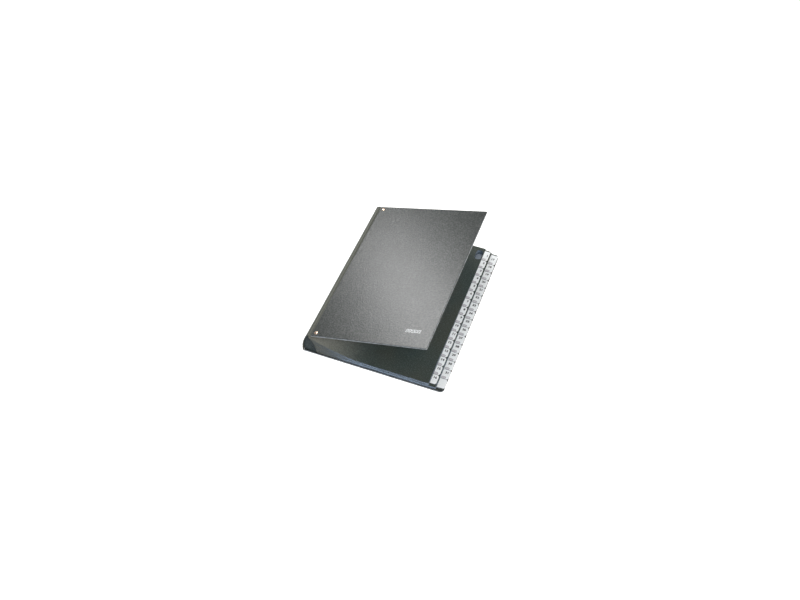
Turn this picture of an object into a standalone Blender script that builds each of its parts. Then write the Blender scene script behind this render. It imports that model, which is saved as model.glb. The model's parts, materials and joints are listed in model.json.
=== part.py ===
"""Desk sorter file: a hard-board cover pair, an accordion spine and thirty-two tabbed leaves.

The file lies flat on its back cover, with the front cover standing a little open.
+X points from the spine to the tabs, +Y from the foot of the pages to their head, +Z up.
The origin is the centre of the back cover's underside.  Units are metres.
"""

import math

import bmesh
import bpy
from mathutils import Vector
from mathutils.geometry import tessellate_polygon

# ---------------------------------------------------------------- driving dimensions
BACK_WIDTH = 0.2598
BOARD_HEIGHT = 0.3400
BOARD_THICKNESS = 0.0025
BACK_CORNER_RADIUS = 0.0090
FRONT_CORNER_RADIUS = 0.0012

FRONT_WIDTH = 0.2278  # from the cover's hinge line to its fore edge
FRONT_TILT = math.radians(16.2)  # how far the cover stands open above the horizontal
HINGE_STRIP_WIDTH = 0.0084  # the flexible strip between the hinge line and the board
HINGE_STRIP_THICKNESS = 0.0017
GROOVE_WIDTH = 0.0004

SPINE_HEIGHT = 0.0479  # from the table to the cover's hinge line
SPINE_FOOT_X = -0.0015  # the spine's outer face at the table
SPINE_SLOPE = -0.104  # it leaves the table leaning outwards ...
SPINE_CURVE = 6.4  # ... and curls back over the leaves, in metres per square metre
SPINE_THICKNESS = 0.0008

LEAF_COUNT = 32
LEAF_THICKNESS = 0.0002
LEAF_MARGIN = 0.0020  # the leaves stop this far inside the boards, at head and foot
FLAT_PITCH = 0.000344  # leaf spacing where the leaves lie on one another
COVER_CLEARANCE = 0.0056  # from the top of the stack, at the pleats, to the cover's hinge line
BEND_START_X = 0.007
BEND_LENGTH = 0.103
BEND_POWER = 1.7
ROOT_X_LOWEST = 0.0245  # spine edge of the lowest leaf
ROOT_LEAN = 0.0065  # the leaves above it reach further towards the spine ...
ROOT_CURL = 0.0085  # ... and the top few further still
ROOT_CURL_POWER = 5

ROWS = LEAF_COUNT // 2  # tabs in each of the two columns
UPPER_EDGE_X = 0.2325  # fore edge of the leaves with the inner column of tabs
UPPER_TAB_X = 0.2438
LOWER_EDGE_X = 0.2452  # fore edge of the leaves with the outer column
LOWER_TAB_X = 0.2597
TAB_PITCH = 0.0200
TAB_FOOT = 0.0075  # from the board's foot to the lowest tab
TAB_HEAD = 0.0052  # from the board's head to the highest tab
TAB_RADIUS = 0.0030
TAB_ARC_STEPS = 3

SIGHT_HOLE_WIDTH = 0.0130
SIGHT_HOLE_HEIGHT = 0.0250
SIGHT_HOLE_EDGE = 0.0015  # from the hole to the upper leaves' fore edge
SIGHT_HOLE_HEAD = 0.0085  # from the board's head to the hole
SIGHT_ARC_STEPS = 6

GUSSET_THICKNESS = 0.00024
GUSSET_TO_LEAF = 0.0006
GUSSET_TO_SPINE = 0.0005
GUSSET_MARGIN = 0.0030

LINING_THICKNESS = 0.00025
LINING_MARGIN = 0.0070
LINING_GAP = 0.00015
FLAP_THICKNESS = 0.00035
FLAP_START = 0.0080
FLAP_END = 0.0220

RIVET_FROM_HINGE = 0.0160
RIVET_FROM_END = 0.0075
RIVET_SHANK_RADIUS = 0.0013
RIVET_HOLE_RADIUS = 0.0016
RIVET_HEAD_RADIUS = 0.0033
RIVET_HEAD_HEIGHT = 0.0009
RIVET_TAIL_RADIUS = 0.0024
RIVET_TAIL_HEIGHT = 0.0005
WASHER_RADIUS = 0.0034
WASHER_THICKNESS = 0.0004
SEAT_GAP = 0.0001  # between a rivet's parts and what they clamp
COUNTERBORE_RADIUS = 0.0037
COUNTERBORE_DEPTH = 0.0012

STACK_BASE = BOARD_THICKNESS + LINING_GAP + LINING_THICKNESS + 0.00005
SPINE_PITCH = (SPINE_HEIGHT - COVER_CLEARANCE - STACK_BASE) / LEAF_COUNT  # leaf spacing at the pleats
HALF_HEIGHT = BOARD_HEIGHT / 2
LEAF_HALF = HALF_HEIGHT - LEAF_MARGIN
RIVET_Y = HALF_HEIGHT - RIVET_FROM_END
ROUND_STEPS = 16
SPINE_STEPS = 12
BEND_STATIONS = (0.0180, 0.0260, 0.0350, 0.0450, 0.0570, 0.0710, 0.0880)


# ---------------------------------------------------------------- the shape of the stack
def spine_face_x(z):
    """Outer face of the spine at height z: it bows out near the table and leans in above."""
    return SPINE_FOOT_X + SPINE_SLOPE * z + SPINE_CURVE * z * z


def leaf_rank(number):
    """1 for the top leaf, falling evenly to 1 / LEAF_COUNT for the lowest."""
    return (LEAF_COUNT + 1 - number) / LEAF_COUNT


def stack_height(x):
    """Height of the whole stack of leaves above its base: tall at the pleats, flat beyond the bend."""
    along = min(max((x - BEND_START_X) / BEND_LENGTH, 0.0), 1.0)
    return LEAF_COUNT * (FLAT_PITCH + (SPINE_PITCH - FLAT_PITCH) * (1 - along) ** BEND_POWER)


def leaf_height(number, x):
    return STACK_BASE + leaf_rank(number) * stack_height(x)


def leaf_root_x(number):
    """The leaf's spine edge: the higher the leaf, the nearer the spine."""
    rank = leaf_rank(number)
    return ROOT_X_LOWEST - ROOT_LEAN * rank - ROOT_CURL * rank**ROOT_CURL_POWER


def leaf_root(number):
    x = leaf_root_x(number)
    return Vector((x, 0.0, leaf_height(number, x)))


HINGE_LINE = Vector((spine_face_x(SPINE_HEIGHT) - 0.0003, 0.0, SPINE_HEIGHT))


def leaf_axis(number):
    """The line that a leaf turns about: its own edge low down, shifting to the cover's hinge line.

    The pleats stretch as the leaves lift, so the upper leaves swing about a higher line.
    """
    weight = ((LEAF_COUNT - number) / (LEAF_COUNT - 1)) ** 2
    return leaf_root(number) + weight * (HINGE_LINE - leaf_root(1))


# ---------------------------------------------------------------- Blender helpers
def clear_scene():
    for obj in list(bpy.data.objects):
        bpy.data.objects.remove(obj, do_unlink=True)


def make_collection(name):
    collection = bpy.data.collections.new(name)
    bpy.context.scene.collection.children.link(collection)
    return collection


def make_material(name, colour, roughness, metallic=0.0):
    material = bpy.data.materials.new(name)
    material.use_nodes = True
    shader = material.node_tree.nodes["Principled BSDF"]
    shader.inputs["Base Color"].default_value = (*colour, 1.0)
    shader.inputs["Roughness"].default_value = roughness
    shader.inputs["Metallic"].default_value = metallic
    material.diffuse_color = (*colour, 1.0)
    return material


class Kit:
    """The collections that parts and cutters go in, and the finishes that they share."""

    def __init__(self):
        self.parts = make_collection("desk_sorter_file")
        self.cutters = make_collection("cutters")
        self.board = make_material("grained_board", (0.075, 0.080, 0.078), 0.45)
        self.cloth = make_material("spine_cloth", (0.020, 0.022, 0.019), 0.70)
        self.pleat = make_material("pleat_card", (0.030, 0.042, 0.045), 0.85)
        self.leaf = make_material("leaf_card", (0.030, 0.036, 0.031), 0.60)
        self.lining = make_material("lining_paper", (0.190, 0.210, 0.230), 0.80)
        self.brass = make_material("rivet_brass", (0.800, 0.660, 0.480), 0.25, 1.0)

    def empty(self, name, location, parent=None, tilt=0.0):
        """An empty that lifts its +X axis by tilt about the Y axis."""
        holder = bpy.data.objects.new(name, None)
        holder.location = location
        holder.rotation_euler = (0.0, -tilt, 0.0)
        holder.parent = parent
        self.parts.objects.link(holder)
        return holder

    def add(self, name, mesh, material, parent, location=(0.0, 0.0, 0.0)):
        obj = bpy.data.objects.new(name, mesh)
        obj.location = location
        obj.parent = parent
        if not mesh.materials:
            mesh.materials.append(material)
        self.parts.objects.link(obj)
        return obj

    def cutter(self, name, mesh, parent, location):
        obj = bpy.data.objects.new(name, mesh)
        obj.location = location
        obj.parent = parent
        obj.hide_render = True
        obj.display_type = "WIRE"
        self.cutters.objects.link(obj)
        return obj


def cut(target, cutter):
    modifier = target.modifiers.new("cut_" + cutter.name, "BOOLEAN")
    modifier.operation = "DIFFERENCE"
    modifier.solver = "EXACT"
    modifier.object = cutter


def to_mesh(name, bm):
    mesh = bpy.data.meshes.new(name)
    bm.to_mesh(mesh)
    bm.free()
    return mesh


def slab_mesh(name, low, high, fore_radius=0.0):
    """A box between two corners, with its two fore-edge corners rounded when a radius is given."""
    bm = bmesh.new()
    bmesh.ops.create_cube(bm, size=1.0)
    low, high = Vector(low), Vector(high)
    bmesh.ops.scale(bm, vec=high - low, verts=bm.verts)
    bmesh.ops.translate(bm, vec=(low + high) / 2, verts=bm.verts)
    if fore_radius:
        upright = [
            edge
            for edge in bm.edges
            if abs(edge.verts[0].co.z - edge.verts[1].co.z) > 1e-6
            and min(v.co.x for v in edge.verts) > high.x - 1e-6
        ]
        bmesh.ops.bevel(
            bm, geom=upright, offset=fore_radius, segments=6, affect="EDGES", profile=0.5
        )
    return to_mesh(name, bm)


def rod_mesh(name, radius, low_z, high_z):
    bm = bmesh.new()
    bmesh.ops.create_cone(
        bm, cap_ends=True, segments=ROUND_STEPS, radius1=radius, radius2=radius, depth=high_z - low_z
    )
    bmesh.ops.translate(bm, vec=(0.0, 0.0, (low_z + high_z) / 2), verts=bm.verts)
    return to_mesh(name, bm)


def extruded_profile_mesh(name, profile, half_length):
    """A closed outline in X and Z, drawn out along Y."""
    bm = bmesh.new()
    ring = [bm.verts.new((x, -half_length, z)) for x, z in profile]
    face = bm.faces.new(ring)
    drawn = bmesh.ops.extrude_face_region(bm, geom=[face])
    moved = [item for item in drawn["geom"] if isinstance(item, bmesh.types.BMVert)]
    bmesh.ops.translate(bm, vec=(0.0, 2 * half_length, 0.0), verts=moved)
    bmesh.ops.recalc_face_normals(bm, faces=bm.faces)
    return to_mesh(name, bm)


def turned(kit, name, profile, material, parent, location):
    """A turned solid: the profile runs down its outer side, from the top to the bottom."""
    mesh = bpy.data.meshes.new(name)
    points = [(radius, 0.0, z) for radius, z in profile]
    mesh.from_pydata(points, [(i, i + 1) for i in range(len(points) - 1)], [])
    obj = kit.add(name, mesh, material, parent, location)
    screw = obj.modifiers.new("turn", "SCREW")
    screw.axis = "Z"
    screw.steps = ROUND_STEPS
    screw.render_steps = ROUND_STEPS
    screw.use_merge_vertices = True
    screw.merge_threshold = 0.00001
    screw.use_smooth_shade = True
    return obj


# ---------------------------------------------------------------- covers
def ends():
    """The two ends of the file, as a word and the sign of Y."""
    return (("top", 1), ("bottom", -1))


def build_back_cover(kit, frame):
    """The board that the file lies on, its inner lining and the pleat's riveted flap."""
    board = kit.add(
        "back_cover_board",
        slab_mesh(
            "back_cover_board",
            (0.0, -HALF_HEIGHT, 0.0),
            (BACK_WIDTH, HALF_HEIGHT, BOARD_THICKNESS),
            BACK_CORNER_RADIUS,
        ),
        kit.board,
        frame,
    )
    lining_low = BOARD_THICKNESS + LINING_GAP
    kit.add(
        "back_lining",
        slab_mesh(
            "back_lining",
            (ROOT_X_LOWEST + LINING_MARGIN, LINING_MARGIN - HALF_HEIGHT, lining_low),
            (
                BACK_WIDTH - LINING_MARGIN,
                HALF_HEIGHT - LINING_MARGIN,
                lining_low + LINING_THICKNESS,
            ),
        ),
        kit.lining,
        frame,
    )
    flap = kit.add(
        "back_gusset_flap",
        slab_mesh(
            "back_gusset_flap",
            (FLAP_START, -LEAF_HALF, lining_low),
            (FLAP_END, LEAF_HALF, lining_low + FLAP_THICKNESS),
        ),
        kit.pleat,
        frame,
    )
    flap_top = lining_low + FLAP_THICKNESS
    for word, side in ends():
        place = (RIVET_FROM_HINGE, side * RIVET_Y, 0.0)
        hole = kit.cutter(
            "back_rivet_hole_" + word,
            rod_mesh("back_rivet_hole", RIVET_HOLE_RADIUS, -0.001, flap_top + 0.001),
            frame,
            place,
        )
        sink = kit.cutter(
            "back_rivet_sink_" + word,
            rod_mesh("back_rivet_sink", COUNTERBORE_RADIUS, -0.001, COUNTERBORE_DEPTH),
            frame,
            place,
        )
        cut(board, hole)
        cut(board, sink)
        cut(flap, hole)
        head_high = COUNTERBORE_DEPTH - SEAT_GAP
        tail_low = flap_top + SEAT_GAP
        profile = [
            (0.0, tail_low + RIVET_TAIL_HEIGHT),
            (RIVET_TAIL_RADIUS * 0.8, tail_low + RIVET_TAIL_HEIGHT),
            (RIVET_TAIL_RADIUS, tail_low),
            (RIVET_SHANK_RADIUS, tail_low),
            (RIVET_SHANK_RADIUS, head_high),
            (RIVET_HEAD_RADIUS, head_high),
            (RIVET_HEAD_RADIUS, 0.0005),
            (RIVET_HEAD_RADIUS * 0.8, 0.0002),
            (0.0, 0.0002),
        ]
        turned(kit, "back_rivet_" + word, profile, kit.brass, frame, place)


def build_front_cover(kit, holder):
    """The upper board and all that swings with it, in the cover's own tilted frame."""
    strip_low = -SEAT_GAP * 3 - HINGE_STRIP_THICKNESS
    kit.add(
        "front_hinge_strip",
        slab_mesh(
            "front_hinge_strip",
            (0.0014, -HALF_HEIGHT, strip_low),
            (HINGE_STRIP_WIDTH, HALF_HEIGHT, -SEAT_GAP * 3),
        ),
        kit.cloth,
        holder,
    )
    board = kit.add(
        "front_cover_board",
        slab_mesh(
            "front_cover_board",
            (HINGE_STRIP_WIDTH + GROOVE_WIDTH, -HALF_HEIGHT, -BOARD_THICKNESS),
            (FRONT_WIDTH, HALF_HEIGHT, 0.0),
            FRONT_CORNER_RADIUS,
        ),
        kit.board,
        holder,
    )
    lining_high = -BOARD_THICKNESS - LINING_GAP
    kit.add(
        "front_lining",
        slab_mesh(
            "front_lining",
            (FLAP_END + 0.001, LINING_MARGIN - HALF_HEIGHT, lining_high - LINING_THICKNESS),
            (FRONT_WIDTH - LINING_MARGIN, HALF_HEIGHT - LINING_MARGIN, lining_high),
        ),
        kit.lining,
        holder,
    )
    flap_low = lining_high - FLAP_THICKNESS
    flap = kit.add(
        "front_gusset_flap",
        slab_mesh(
            "front_gusset_flap",
            (HINGE_STRIP_WIDTH + GROOVE_WIDTH, -LEAF_HALF, flap_low),
            (FLAP_END, LEAF_HALF, lining_high),
        ),
        kit.pleat,
        holder,
    )
    for word, side in ends():
        place = (RIVET_FROM_HINGE, side * RIVET_Y, 0.0)
        hole = kit.cutter(
            "front_rivet_hole_" + word,
            rod_mesh("front_rivet_hole", RIVET_HOLE_RADIUS, flap_low - 0.001, 0.001),
            holder,
            place,
        )
        cut(board, hole)
        cut(flap, hole)
        washer_high = flap_low - SEAT_GAP
        washer_low = washer_high - WASHER_THICKNESS
        ring = [
            (RIVET_HOLE_RADIUS, washer_high),
            (WASHER_RADIUS, washer_high),
            (WASHER_RADIUS, washer_low),
            (RIVET_HOLE_RADIUS, washer_low),
            (RIVET_HOLE_RADIUS, washer_high),
        ]
        turned(kit, "front_washer_" + word, ring, kit.brass, holder, place)
        tail_high = washer_low - SEAT_GAP
        profile = [
            (0.0, SEAT_GAP + RIVET_HEAD_HEIGHT),
            (RIVET_HEAD_RADIUS * 0.45, SEAT_GAP + RIVET_HEAD_HEIGHT * 0.9),
            (RIVET_HEAD_RADIUS * 0.8, SEAT_GAP + RIVET_HEAD_HEIGHT * 0.55),
            (RIVET_HEAD_RADIUS, SEAT_GAP),
            (RIVET_SHANK_RADIUS, SEAT_GAP),
            (RIVET_SHANK_RADIUS, tail_high),
            (RIVET_TAIL_RADIUS, tail_high),
            (RIVET_TAIL_RADIUS * 0.8, tail_high - RIVET_TAIL_HEIGHT),
            (0.0, tail_high - RIVET_TAIL_HEIGHT),
        ]
        turned(kit, "front_rivet_" + word, profile, kit.brass, holder, place)


# ---------------------------------------------------------------- spine
def build_spine(kit, frame):
    """The outer spine: one curved cloth-covered wall from the table to the cover's hinge line."""
    top = SPINE_HEIGHT - 0.0009
    heights = [0.0003 + (top - 0.0003) * i / SPINE_STEPS for i in range(SPINE_STEPS + 1)]
    outer = [(spine_face_x(z), z) for z in heights]
    inner = [(spine_face_x(z) + SPINE_THICKNESS, z) for z in reversed(heights)]
    mesh = extruded_profile_mesh("spine_cloth", outer + inner, HALF_HEIGHT)
    kit.add("spine_cloth", mesh, kit.cloth, frame)


def pleat_tips():
    """The folds of the pleated ribbon from the lowest leaf to the top one, as (x, z, is_inner)."""
    tips = []
    for number in range(LEAF_COUNT, 0, -1):
        root = leaf_root(number)
        tips.append((root.x - GUSSET_TO_LEAF, root.z, True))
        if number > 1:
            middle = (root.z + leaf_root(number - 1).z) / 2
            outer = spine_face_x(middle) + SPINE_THICKNESS + GUSSET_TO_SPINE
            tips.append((outer, middle, False))
    return tips


def inside_corner(before, tip, after):
    """Where the card's two faces meet inside a fold: half a thickness from both runs."""
    slope_in = (tip[1] - before[1]) / (tip[0] - before[0])
    slope_out = (after[1] - tip[1]) / (after[0] - tip[0])
    run = GUSSET_THICKNESS / (slope_in - slope_out)
    return (tip[0] - run, tip[1] + GUSSET_THICKNESS / 2 - slope_in * run)


def build_gusset(kit, frame):
    """The accordion: a pleated ribbon of card with one inner fold at the edge of each leaf."""
    tips = pleat_tips()
    half = GUSSET_THICKNESS / 2
    facing_leaves, facing_spine = [], []
    for i, (x, z, is_inner) in enumerate(tips):
        beyond = x + half if is_inner else x - half
        if i in (0, len(tips) - 1):
            rise = half if i == 0 else -half
            facing_leaves.append((beyond, z + rise))
            facing_spine.append((beyond, z - rise))
            continue
        blunt = facing_leaves if is_inner else facing_spine
        sharp = facing_spine if is_inner else facing_leaves
        blunt += [(beyond, z - half), (beyond, z + half)]
        sharp.append(inside_corner(tips[i - 1], (x, z), tips[i + 1]))
    profile = facing_leaves + facing_spine[::-1]
    mesh = extruded_profile_mesh("accordion_gusset", profile, HALF_HEIGHT - GUSSET_MARGIN)
    kit.add("accordion_gusset", mesh, kit.pleat, frame)


# ---------------------------------------------------------------- leaves
def arc(centre, radius, start, steps):
    """A quarter turn of points, from the start angle anticlockwise."""
    angles = [start + math.pi / 2 * i / steps for i in range(steps + 1)]
    return [(centre[0] + radius * math.cos(a), centre[1] + radius * math.sin(a)) for a in angles]


def tab_span(number):
    """Foot and head of the leaf's tab; the first tab of each column runs on towards the head."""
    row = (number - 1) % ROWS
    foot = TAB_FOOT - HALF_HEIGHT + TAB_PITCH * (ROWS - 1 - row)
    head = HALF_HEIGHT - TAB_HEAD if row == 0 else foot + TAB_PITCH
    return foot, head


def fore_outline(number, start_x):
    """Outline of the flat part of a leaf, anticlockwise: the fore edge with its rounded tab."""
    upper = number <= ROWS
    edge_x = UPPER_EDGE_X if upper else LOWER_EDGE_X
    tab_x = UPPER_TAB_X if upper else LOWER_TAB_X
    foot, head = tab_span(number)
    low_arc = arc((tab_x - TAB_RADIUS, foot + TAB_RADIUS), TAB_RADIUS, -math.pi / 2, TAB_ARC_STEPS)
    high_arc = arc((tab_x - TAB_RADIUS, head - TAB_RADIUS), TAB_RADIUS, 0.0, TAB_ARC_STEPS)
    return [
        (start_x, -LEAF_HALF),
        (edge_x, -LEAF_HALF),
        (edge_x, foot),
        *low_arc,
        *high_arc,
        (edge_x, head),
        (edge_x, LEAF_HALF),
        (start_x, LEAF_HALF),
    ]


def sight_hole():
    """An upright slot with round ends, punched through every leaf at the same place."""
    radius = SIGHT_HOLE_WIDTH / 2
    x = UPPER_EDGE_X - SIGHT_HOLE_EDGE - radius
    high = HALF_HEIGHT - SIGHT_HOLE_HEAD - radius
    low = high - (SIGHT_HOLE_HEIGHT - SIGHT_HOLE_WIDTH)
    points = []
    for centre_y, start in ((high, 0.0), (low, math.pi)):
        for i in range(SIGHT_ARC_STEPS + 1):
            angle = start + math.pi * i / SIGHT_ARC_STEPS
            points.append((x + radius * math.cos(angle), centre_y + radius * math.sin(angle)))
    return points


def leaf_mesh(number):
    """A thin sheet that rises to its pleat, with a tab, drawn about the axis that it turns on."""
    axis = leaf_axis(number)
    root_x = leaf_root_x(number)
    flat_x = BEND_START_X + BEND_LENGTH
    stations = [root_x] + [x for x in BEND_STATIONS if x > root_x + 0.002] + [flat_x]
    bm = bmesh.new()

    def point(x, y):
        return bm.verts.new((x - axis.x, y, leaf_height(number, x) - axis.z))

    rows = [(point(x, -LEAF_HALF), point(x, LEAF_HALF)) for x in stations]
    for near, far in zip(rows, rows[1:]):
        bm.faces.new((near[0], far[0], far[1], near[1]))
    loops = [fore_outline(number, flat_x), sight_hole()]
    flat = [point(x, y) for loop in loops for x, y in loop]
    for corners in tessellate_polygon([[Vector((x, y, 0.0)) for x, y in loop] for loop in loops]):
        bm.faces.new([flat[i] for i in corners])
    bmesh.ops.remove_doubles(bm, verts=bm.verts, dist=0.00001)
    bm.normal_update()
    facing_down = [face for face in bm.faces if face.normal.z < 0]
    bmesh.ops.reverse_faces(bm, faces=facing_down)
    return to_mesh(f"leaf_{number:02d}", bm)


def build_leaves(kit, frame):
    for number in range(1, LEAF_COUNT + 1):
        name = f"leaf_{number:02d}"
        leaf = kit.add(name, leaf_mesh(number), kit.leaf, frame, leaf_axis(number))
        thicken = leaf.modifiers.new("card", "SOLIDIFY")
        thicken.thickness = LEAF_THICKNESS
        thicken.offset = 0.0


def main():
    clear_scene()
    kit = Kit()
    frame = kit.empty("spine_edge", (-BACK_WIDTH / 2, 0.0, 0.0))
    build_back_cover(kit, frame)
    build_spine(kit, frame)
    build_gusset(kit, frame)
    build_leaves(kit, frame)
    cover_hinge = kit.empty("front_cover_hinge", HINGE_LINE, frame, FRONT_TILT)
    build_front_cover(kit, cover_hinge)


if __name__ == "__main__":
    main()
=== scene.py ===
"""Looks for the desk sorter file: finishes, fine shapes, printed tabs and a small studio.

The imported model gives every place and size.  Lengths are in metres, +X runs from the spine to
the tabs, +Y from the foot of the leaves to their head, and +Z is up.
"""

import json
import logging
import math
from dataclasses import dataclass
from enum import Enum
from typing import Any, Sequence

import bmesh
import bpy
import numpy as np
from mathutils import Matrix, Vector


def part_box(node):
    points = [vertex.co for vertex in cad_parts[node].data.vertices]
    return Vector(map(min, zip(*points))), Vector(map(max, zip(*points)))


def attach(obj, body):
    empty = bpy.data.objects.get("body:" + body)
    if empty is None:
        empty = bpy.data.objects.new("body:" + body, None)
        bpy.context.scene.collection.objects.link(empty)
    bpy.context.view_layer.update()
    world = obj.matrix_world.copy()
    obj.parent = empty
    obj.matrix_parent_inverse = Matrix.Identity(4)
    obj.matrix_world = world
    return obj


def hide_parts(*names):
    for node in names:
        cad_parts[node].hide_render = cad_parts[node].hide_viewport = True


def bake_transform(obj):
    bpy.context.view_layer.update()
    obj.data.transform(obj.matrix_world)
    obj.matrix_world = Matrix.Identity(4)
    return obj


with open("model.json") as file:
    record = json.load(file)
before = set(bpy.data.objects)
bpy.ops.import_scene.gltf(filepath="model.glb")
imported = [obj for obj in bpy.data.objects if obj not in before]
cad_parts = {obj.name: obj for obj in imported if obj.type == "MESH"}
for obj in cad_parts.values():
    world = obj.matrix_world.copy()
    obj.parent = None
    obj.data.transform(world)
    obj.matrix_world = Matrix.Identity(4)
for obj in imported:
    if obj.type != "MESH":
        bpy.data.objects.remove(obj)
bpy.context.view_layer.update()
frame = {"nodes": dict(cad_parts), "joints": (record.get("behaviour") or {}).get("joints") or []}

MM = 0.001
LOG = logging.getLogger("desk_sorter_file")

# The Mix node's colour sockets share their names with its number sockets, so they go by place.
MIX_SHARE, MIX_LOW, MIX_HIGH, MIX_OUT = 0, 6, 7, 2


# ------------------------------------------------------------------ colours and shader nodes
def linear(hex_colour: str) -> tuple[float, float, float, float]:
    """Turns an sRGB hex colour into linear red, green, blue and alpha.

    Args:
        hex_colour: six hex digits after a hash sign.

    Returns:
        Four numbers from 0 to 1.
    """
    parts = [int(hex_colour[i : i + 2], 16) / 255 for i in (1, 3, 5)]
    red, green, blue = [
        part / 12.92 if part <= 0.04045 else ((part + 0.055) / 1.055) ** 2.4 for part in parts
    ]
    return red, green, blue, 1.0


def add_node(
    tree: bpy.types.NodeTree,
    kind: str,
    inputs: dict[str | int, Any] | None = None,
    **options: Any,
) -> bpy.types.Node:
    """Adds a shader node with its settings and links.

    Args:
        tree: the node tree that it goes in.
        kind: Blender's name for the node.
        inputs: input socket, by name or place, to its value or to the output that feeds it.
        **options: the node's own properties, which are set first.

    Returns:
        The new node.
    """
    node = tree.nodes.new(kind)
    for name, value in options.items():
        setattr(node, name, value)
    for socket, value in (inputs or {}).items():
        if isinstance(value, bpy.types.NodeSocket):
            tree.links.new(value, node.inputs[socket])
        else:
            node.inputs[socket].default_value = value
    return node


# ------------------------------------------------------------------ finishes
@dataclass(frozen=True)
class Finish:
    """What every finish has: its name, how rough it is, and whether it is metal."""

    name: str
    roughness: float
    metallic: float = 0.0

    def material(self) -> bpy.types.Material:
        """Builds the material.

        Returns:
            The new material.
        """
        material = bpy.data.materials.new(self.name)
        material.use_nodes = True
        tree = material.node_tree
        shader = tree.nodes["Principled BSDF"]
        shader.inputs["Roughness"].default_value = self.roughness
        shader.inputs["Metallic"].default_value = self.metallic
        place = add_node(tree, "ShaderNodeTexCoord").outputs["Object"]
        self.dress(tree, shader, place)
        return material

    def dress(
        self, tree: bpy.types.NodeTree, shader: bpy.types.Node, place: bpy.types.NodeSocket
    ) -> None:
        """Adds the nodes that make this finish; each kind of finish has its own."""
        raise NotImplementedError

    def paint(
        self,
        tree: bpy.types.NodeTree,
        shader: bpy.types.Node,
        share: bpy.types.NodeSocket,
        low: Any,
        high: Any,
    ) -> None:
        """Gives the shader a colour that moves between two, each fixed or another node's output.

        Args:
            tree: the node tree.
            shader: the Principled shader.
            share: 0 shows low and 1 shows high.
            low: a linear colour or an output socket.
            high: a linear colour or an output socket.
        """
        colours = {MIX_SHARE: share, MIX_LOW: low, MIX_HIGH: high}
        colour = add_node(tree, "ShaderNodeMix", colours, data_type="RGBA")
        tree.links.new(colour.outputs[MIX_OUT], shader.inputs["Base Color"])

    def emboss(
        self,
        tree: bpy.types.NodeTree,
        shader: bpy.types.Node,
        height: bpy.types.NodeSocket,
        depth: float,
        strength: float,
    ) -> None:
        """Turns a height into the shader's normal.

        Args:
            tree: the node tree.
            shader: the Principled shader.
            height: the height, from 0 to 1.
            depth: what a height of 1 stands for, in metres.
            strength: how much of it shows.
        """
        raised = {"Strength": strength, "Distance": depth, "Height": height}
        bump = add_node(tree, "ShaderNodeBump", raised)
        tree.links.new(bump.outputs["Normal"], shader.inputs["Normal"])


@dataclass(frozen=True)
class GrainedCoverPaper(Finish):
    """Black covering paper, embossed with a pebble grain and varnished, as glued over binder's board.

    The grain breaks the varnish's sheen into fine light and dark specks.  Handled edges go paler: partly
    real wear, partly a painted highlight along every rounded edge.
    """

    ground: str = "#151C1A"
    speck: str = "#555855"
    # paler edges: real scuffs and a painted highlight along every rounded edge
    worn_and_lit_edge: str = "#6B7074"
    grain: float = 2.0 * MM  # the real grain is about 0.8 mm: drawn 2.5 times as coarse to show
    wander: float = 0.8 * MM  # how far the rows of pebbles stray
    speck_share: float = 0.7
    cloud: float = 45 * MM
    cloud_share: float = 0.35
    scuff: float = 5 * MM
    depth: float = 0.22 * MM
    relief: float = 0.55

    def dress(
        self, tree: bpy.types.NodeTree, shader: bpy.types.Node, place: bpy.types.NodeSocket
    ) -> None:
        """Pebbles from Voronoi cells, specks from noise, and a paler edge where the mesh says an edge is:
        wear with a painted highlight.

        Args:
            tree: the material's node tree.
            shader: its Principled shader.
            place: Object coordinates.
        """
        drift = add_node(
            tree,
            "ShaderNodeTexNoise",
            {"Scale": 1 / (6 * self.grain), "Detail": 2.0, "Vector": place},
        )
        strayed = add_node(
            tree,
            "ShaderNodeMixRGB",
            {"Fac": self.wander, "Color1": place, "Color2": drift.outputs["Color"]},
            blend_type="ADD",
        )
        pebbles = add_node(
            tree,
            "ShaderNodeTexVoronoi",
            {"Scale": 1 / self.grain, "Randomness": 1.0, "Vector": strayed.outputs["Color"]},
            feature="F1",
        )
        specks = add_node(
            tree,
            "ShaderNodeTexNoise",
            {"Scale": 1 / (1.5 * self.grain), "Detail": 2.0, "Roughness": 0.6, "Vector": place},
        )
        clouds = add_node(
            tree, "ShaderNodeTexNoise", {"Scale": 1 / self.cloud, "Detail": 3.0, "Vector": place}
        )
        scuffs = add_node(
            tree, "ShaderNodeTexNoise", {"Scale": 1 / self.scuff, "Detail": 4.0, "Vector": place}
        )
        shares = [
            add_node(
                tree,
                "ShaderNodeMapRange",
                {"Value": noise.outputs["Fac"], "From Min": low, "From Max": high, "To Max": top},
            ).outputs["Result"]
            for noise, low, high, top in (
                (specks, 0.38, 0.70, self.speck_share),
                (clouds, 0.35, 0.70, self.cloud_share),
                (scuffs, 0.30, 0.62, 1.0),
            )
        ]
        ground = linear(self.ground)
        speckled = add_node(
            tree,
            "ShaderNodeMix",
            {MIX_SHARE: shares[0], MIX_LOW: ground, MIX_HIGH: linear(self.speck)},
            data_type="RGBA",
        )
        shaded = add_node(
            tree,
            "ShaderNodeMix",
            {MIX_SHARE: shares[1], MIX_LOW: speckled.outputs[MIX_OUT], MIX_HIGH: ground},
            data_type="RGBA",
        )
        # the paler edge: scuffed wear and a painted highlight
        wear = add_node(tree, "ShaderNodeAttribute", attribute_name="wear")
        worn_and_lit_edge = add_node(
            tree, "ShaderNodeMath", {0: wear.outputs["Fac"], 1: shares[2]}, operation="MULTIPLY"
        )
        self.paint(
            tree, shader, worn_and_lit_edge.outputs["Value"], shaded.outputs[MIX_OUT], linear(self.worn_and_lit_edge)
        )
        self.emboss(tree, shader, pebbles.outputs["Distance"], self.depth, self.relief)


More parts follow.
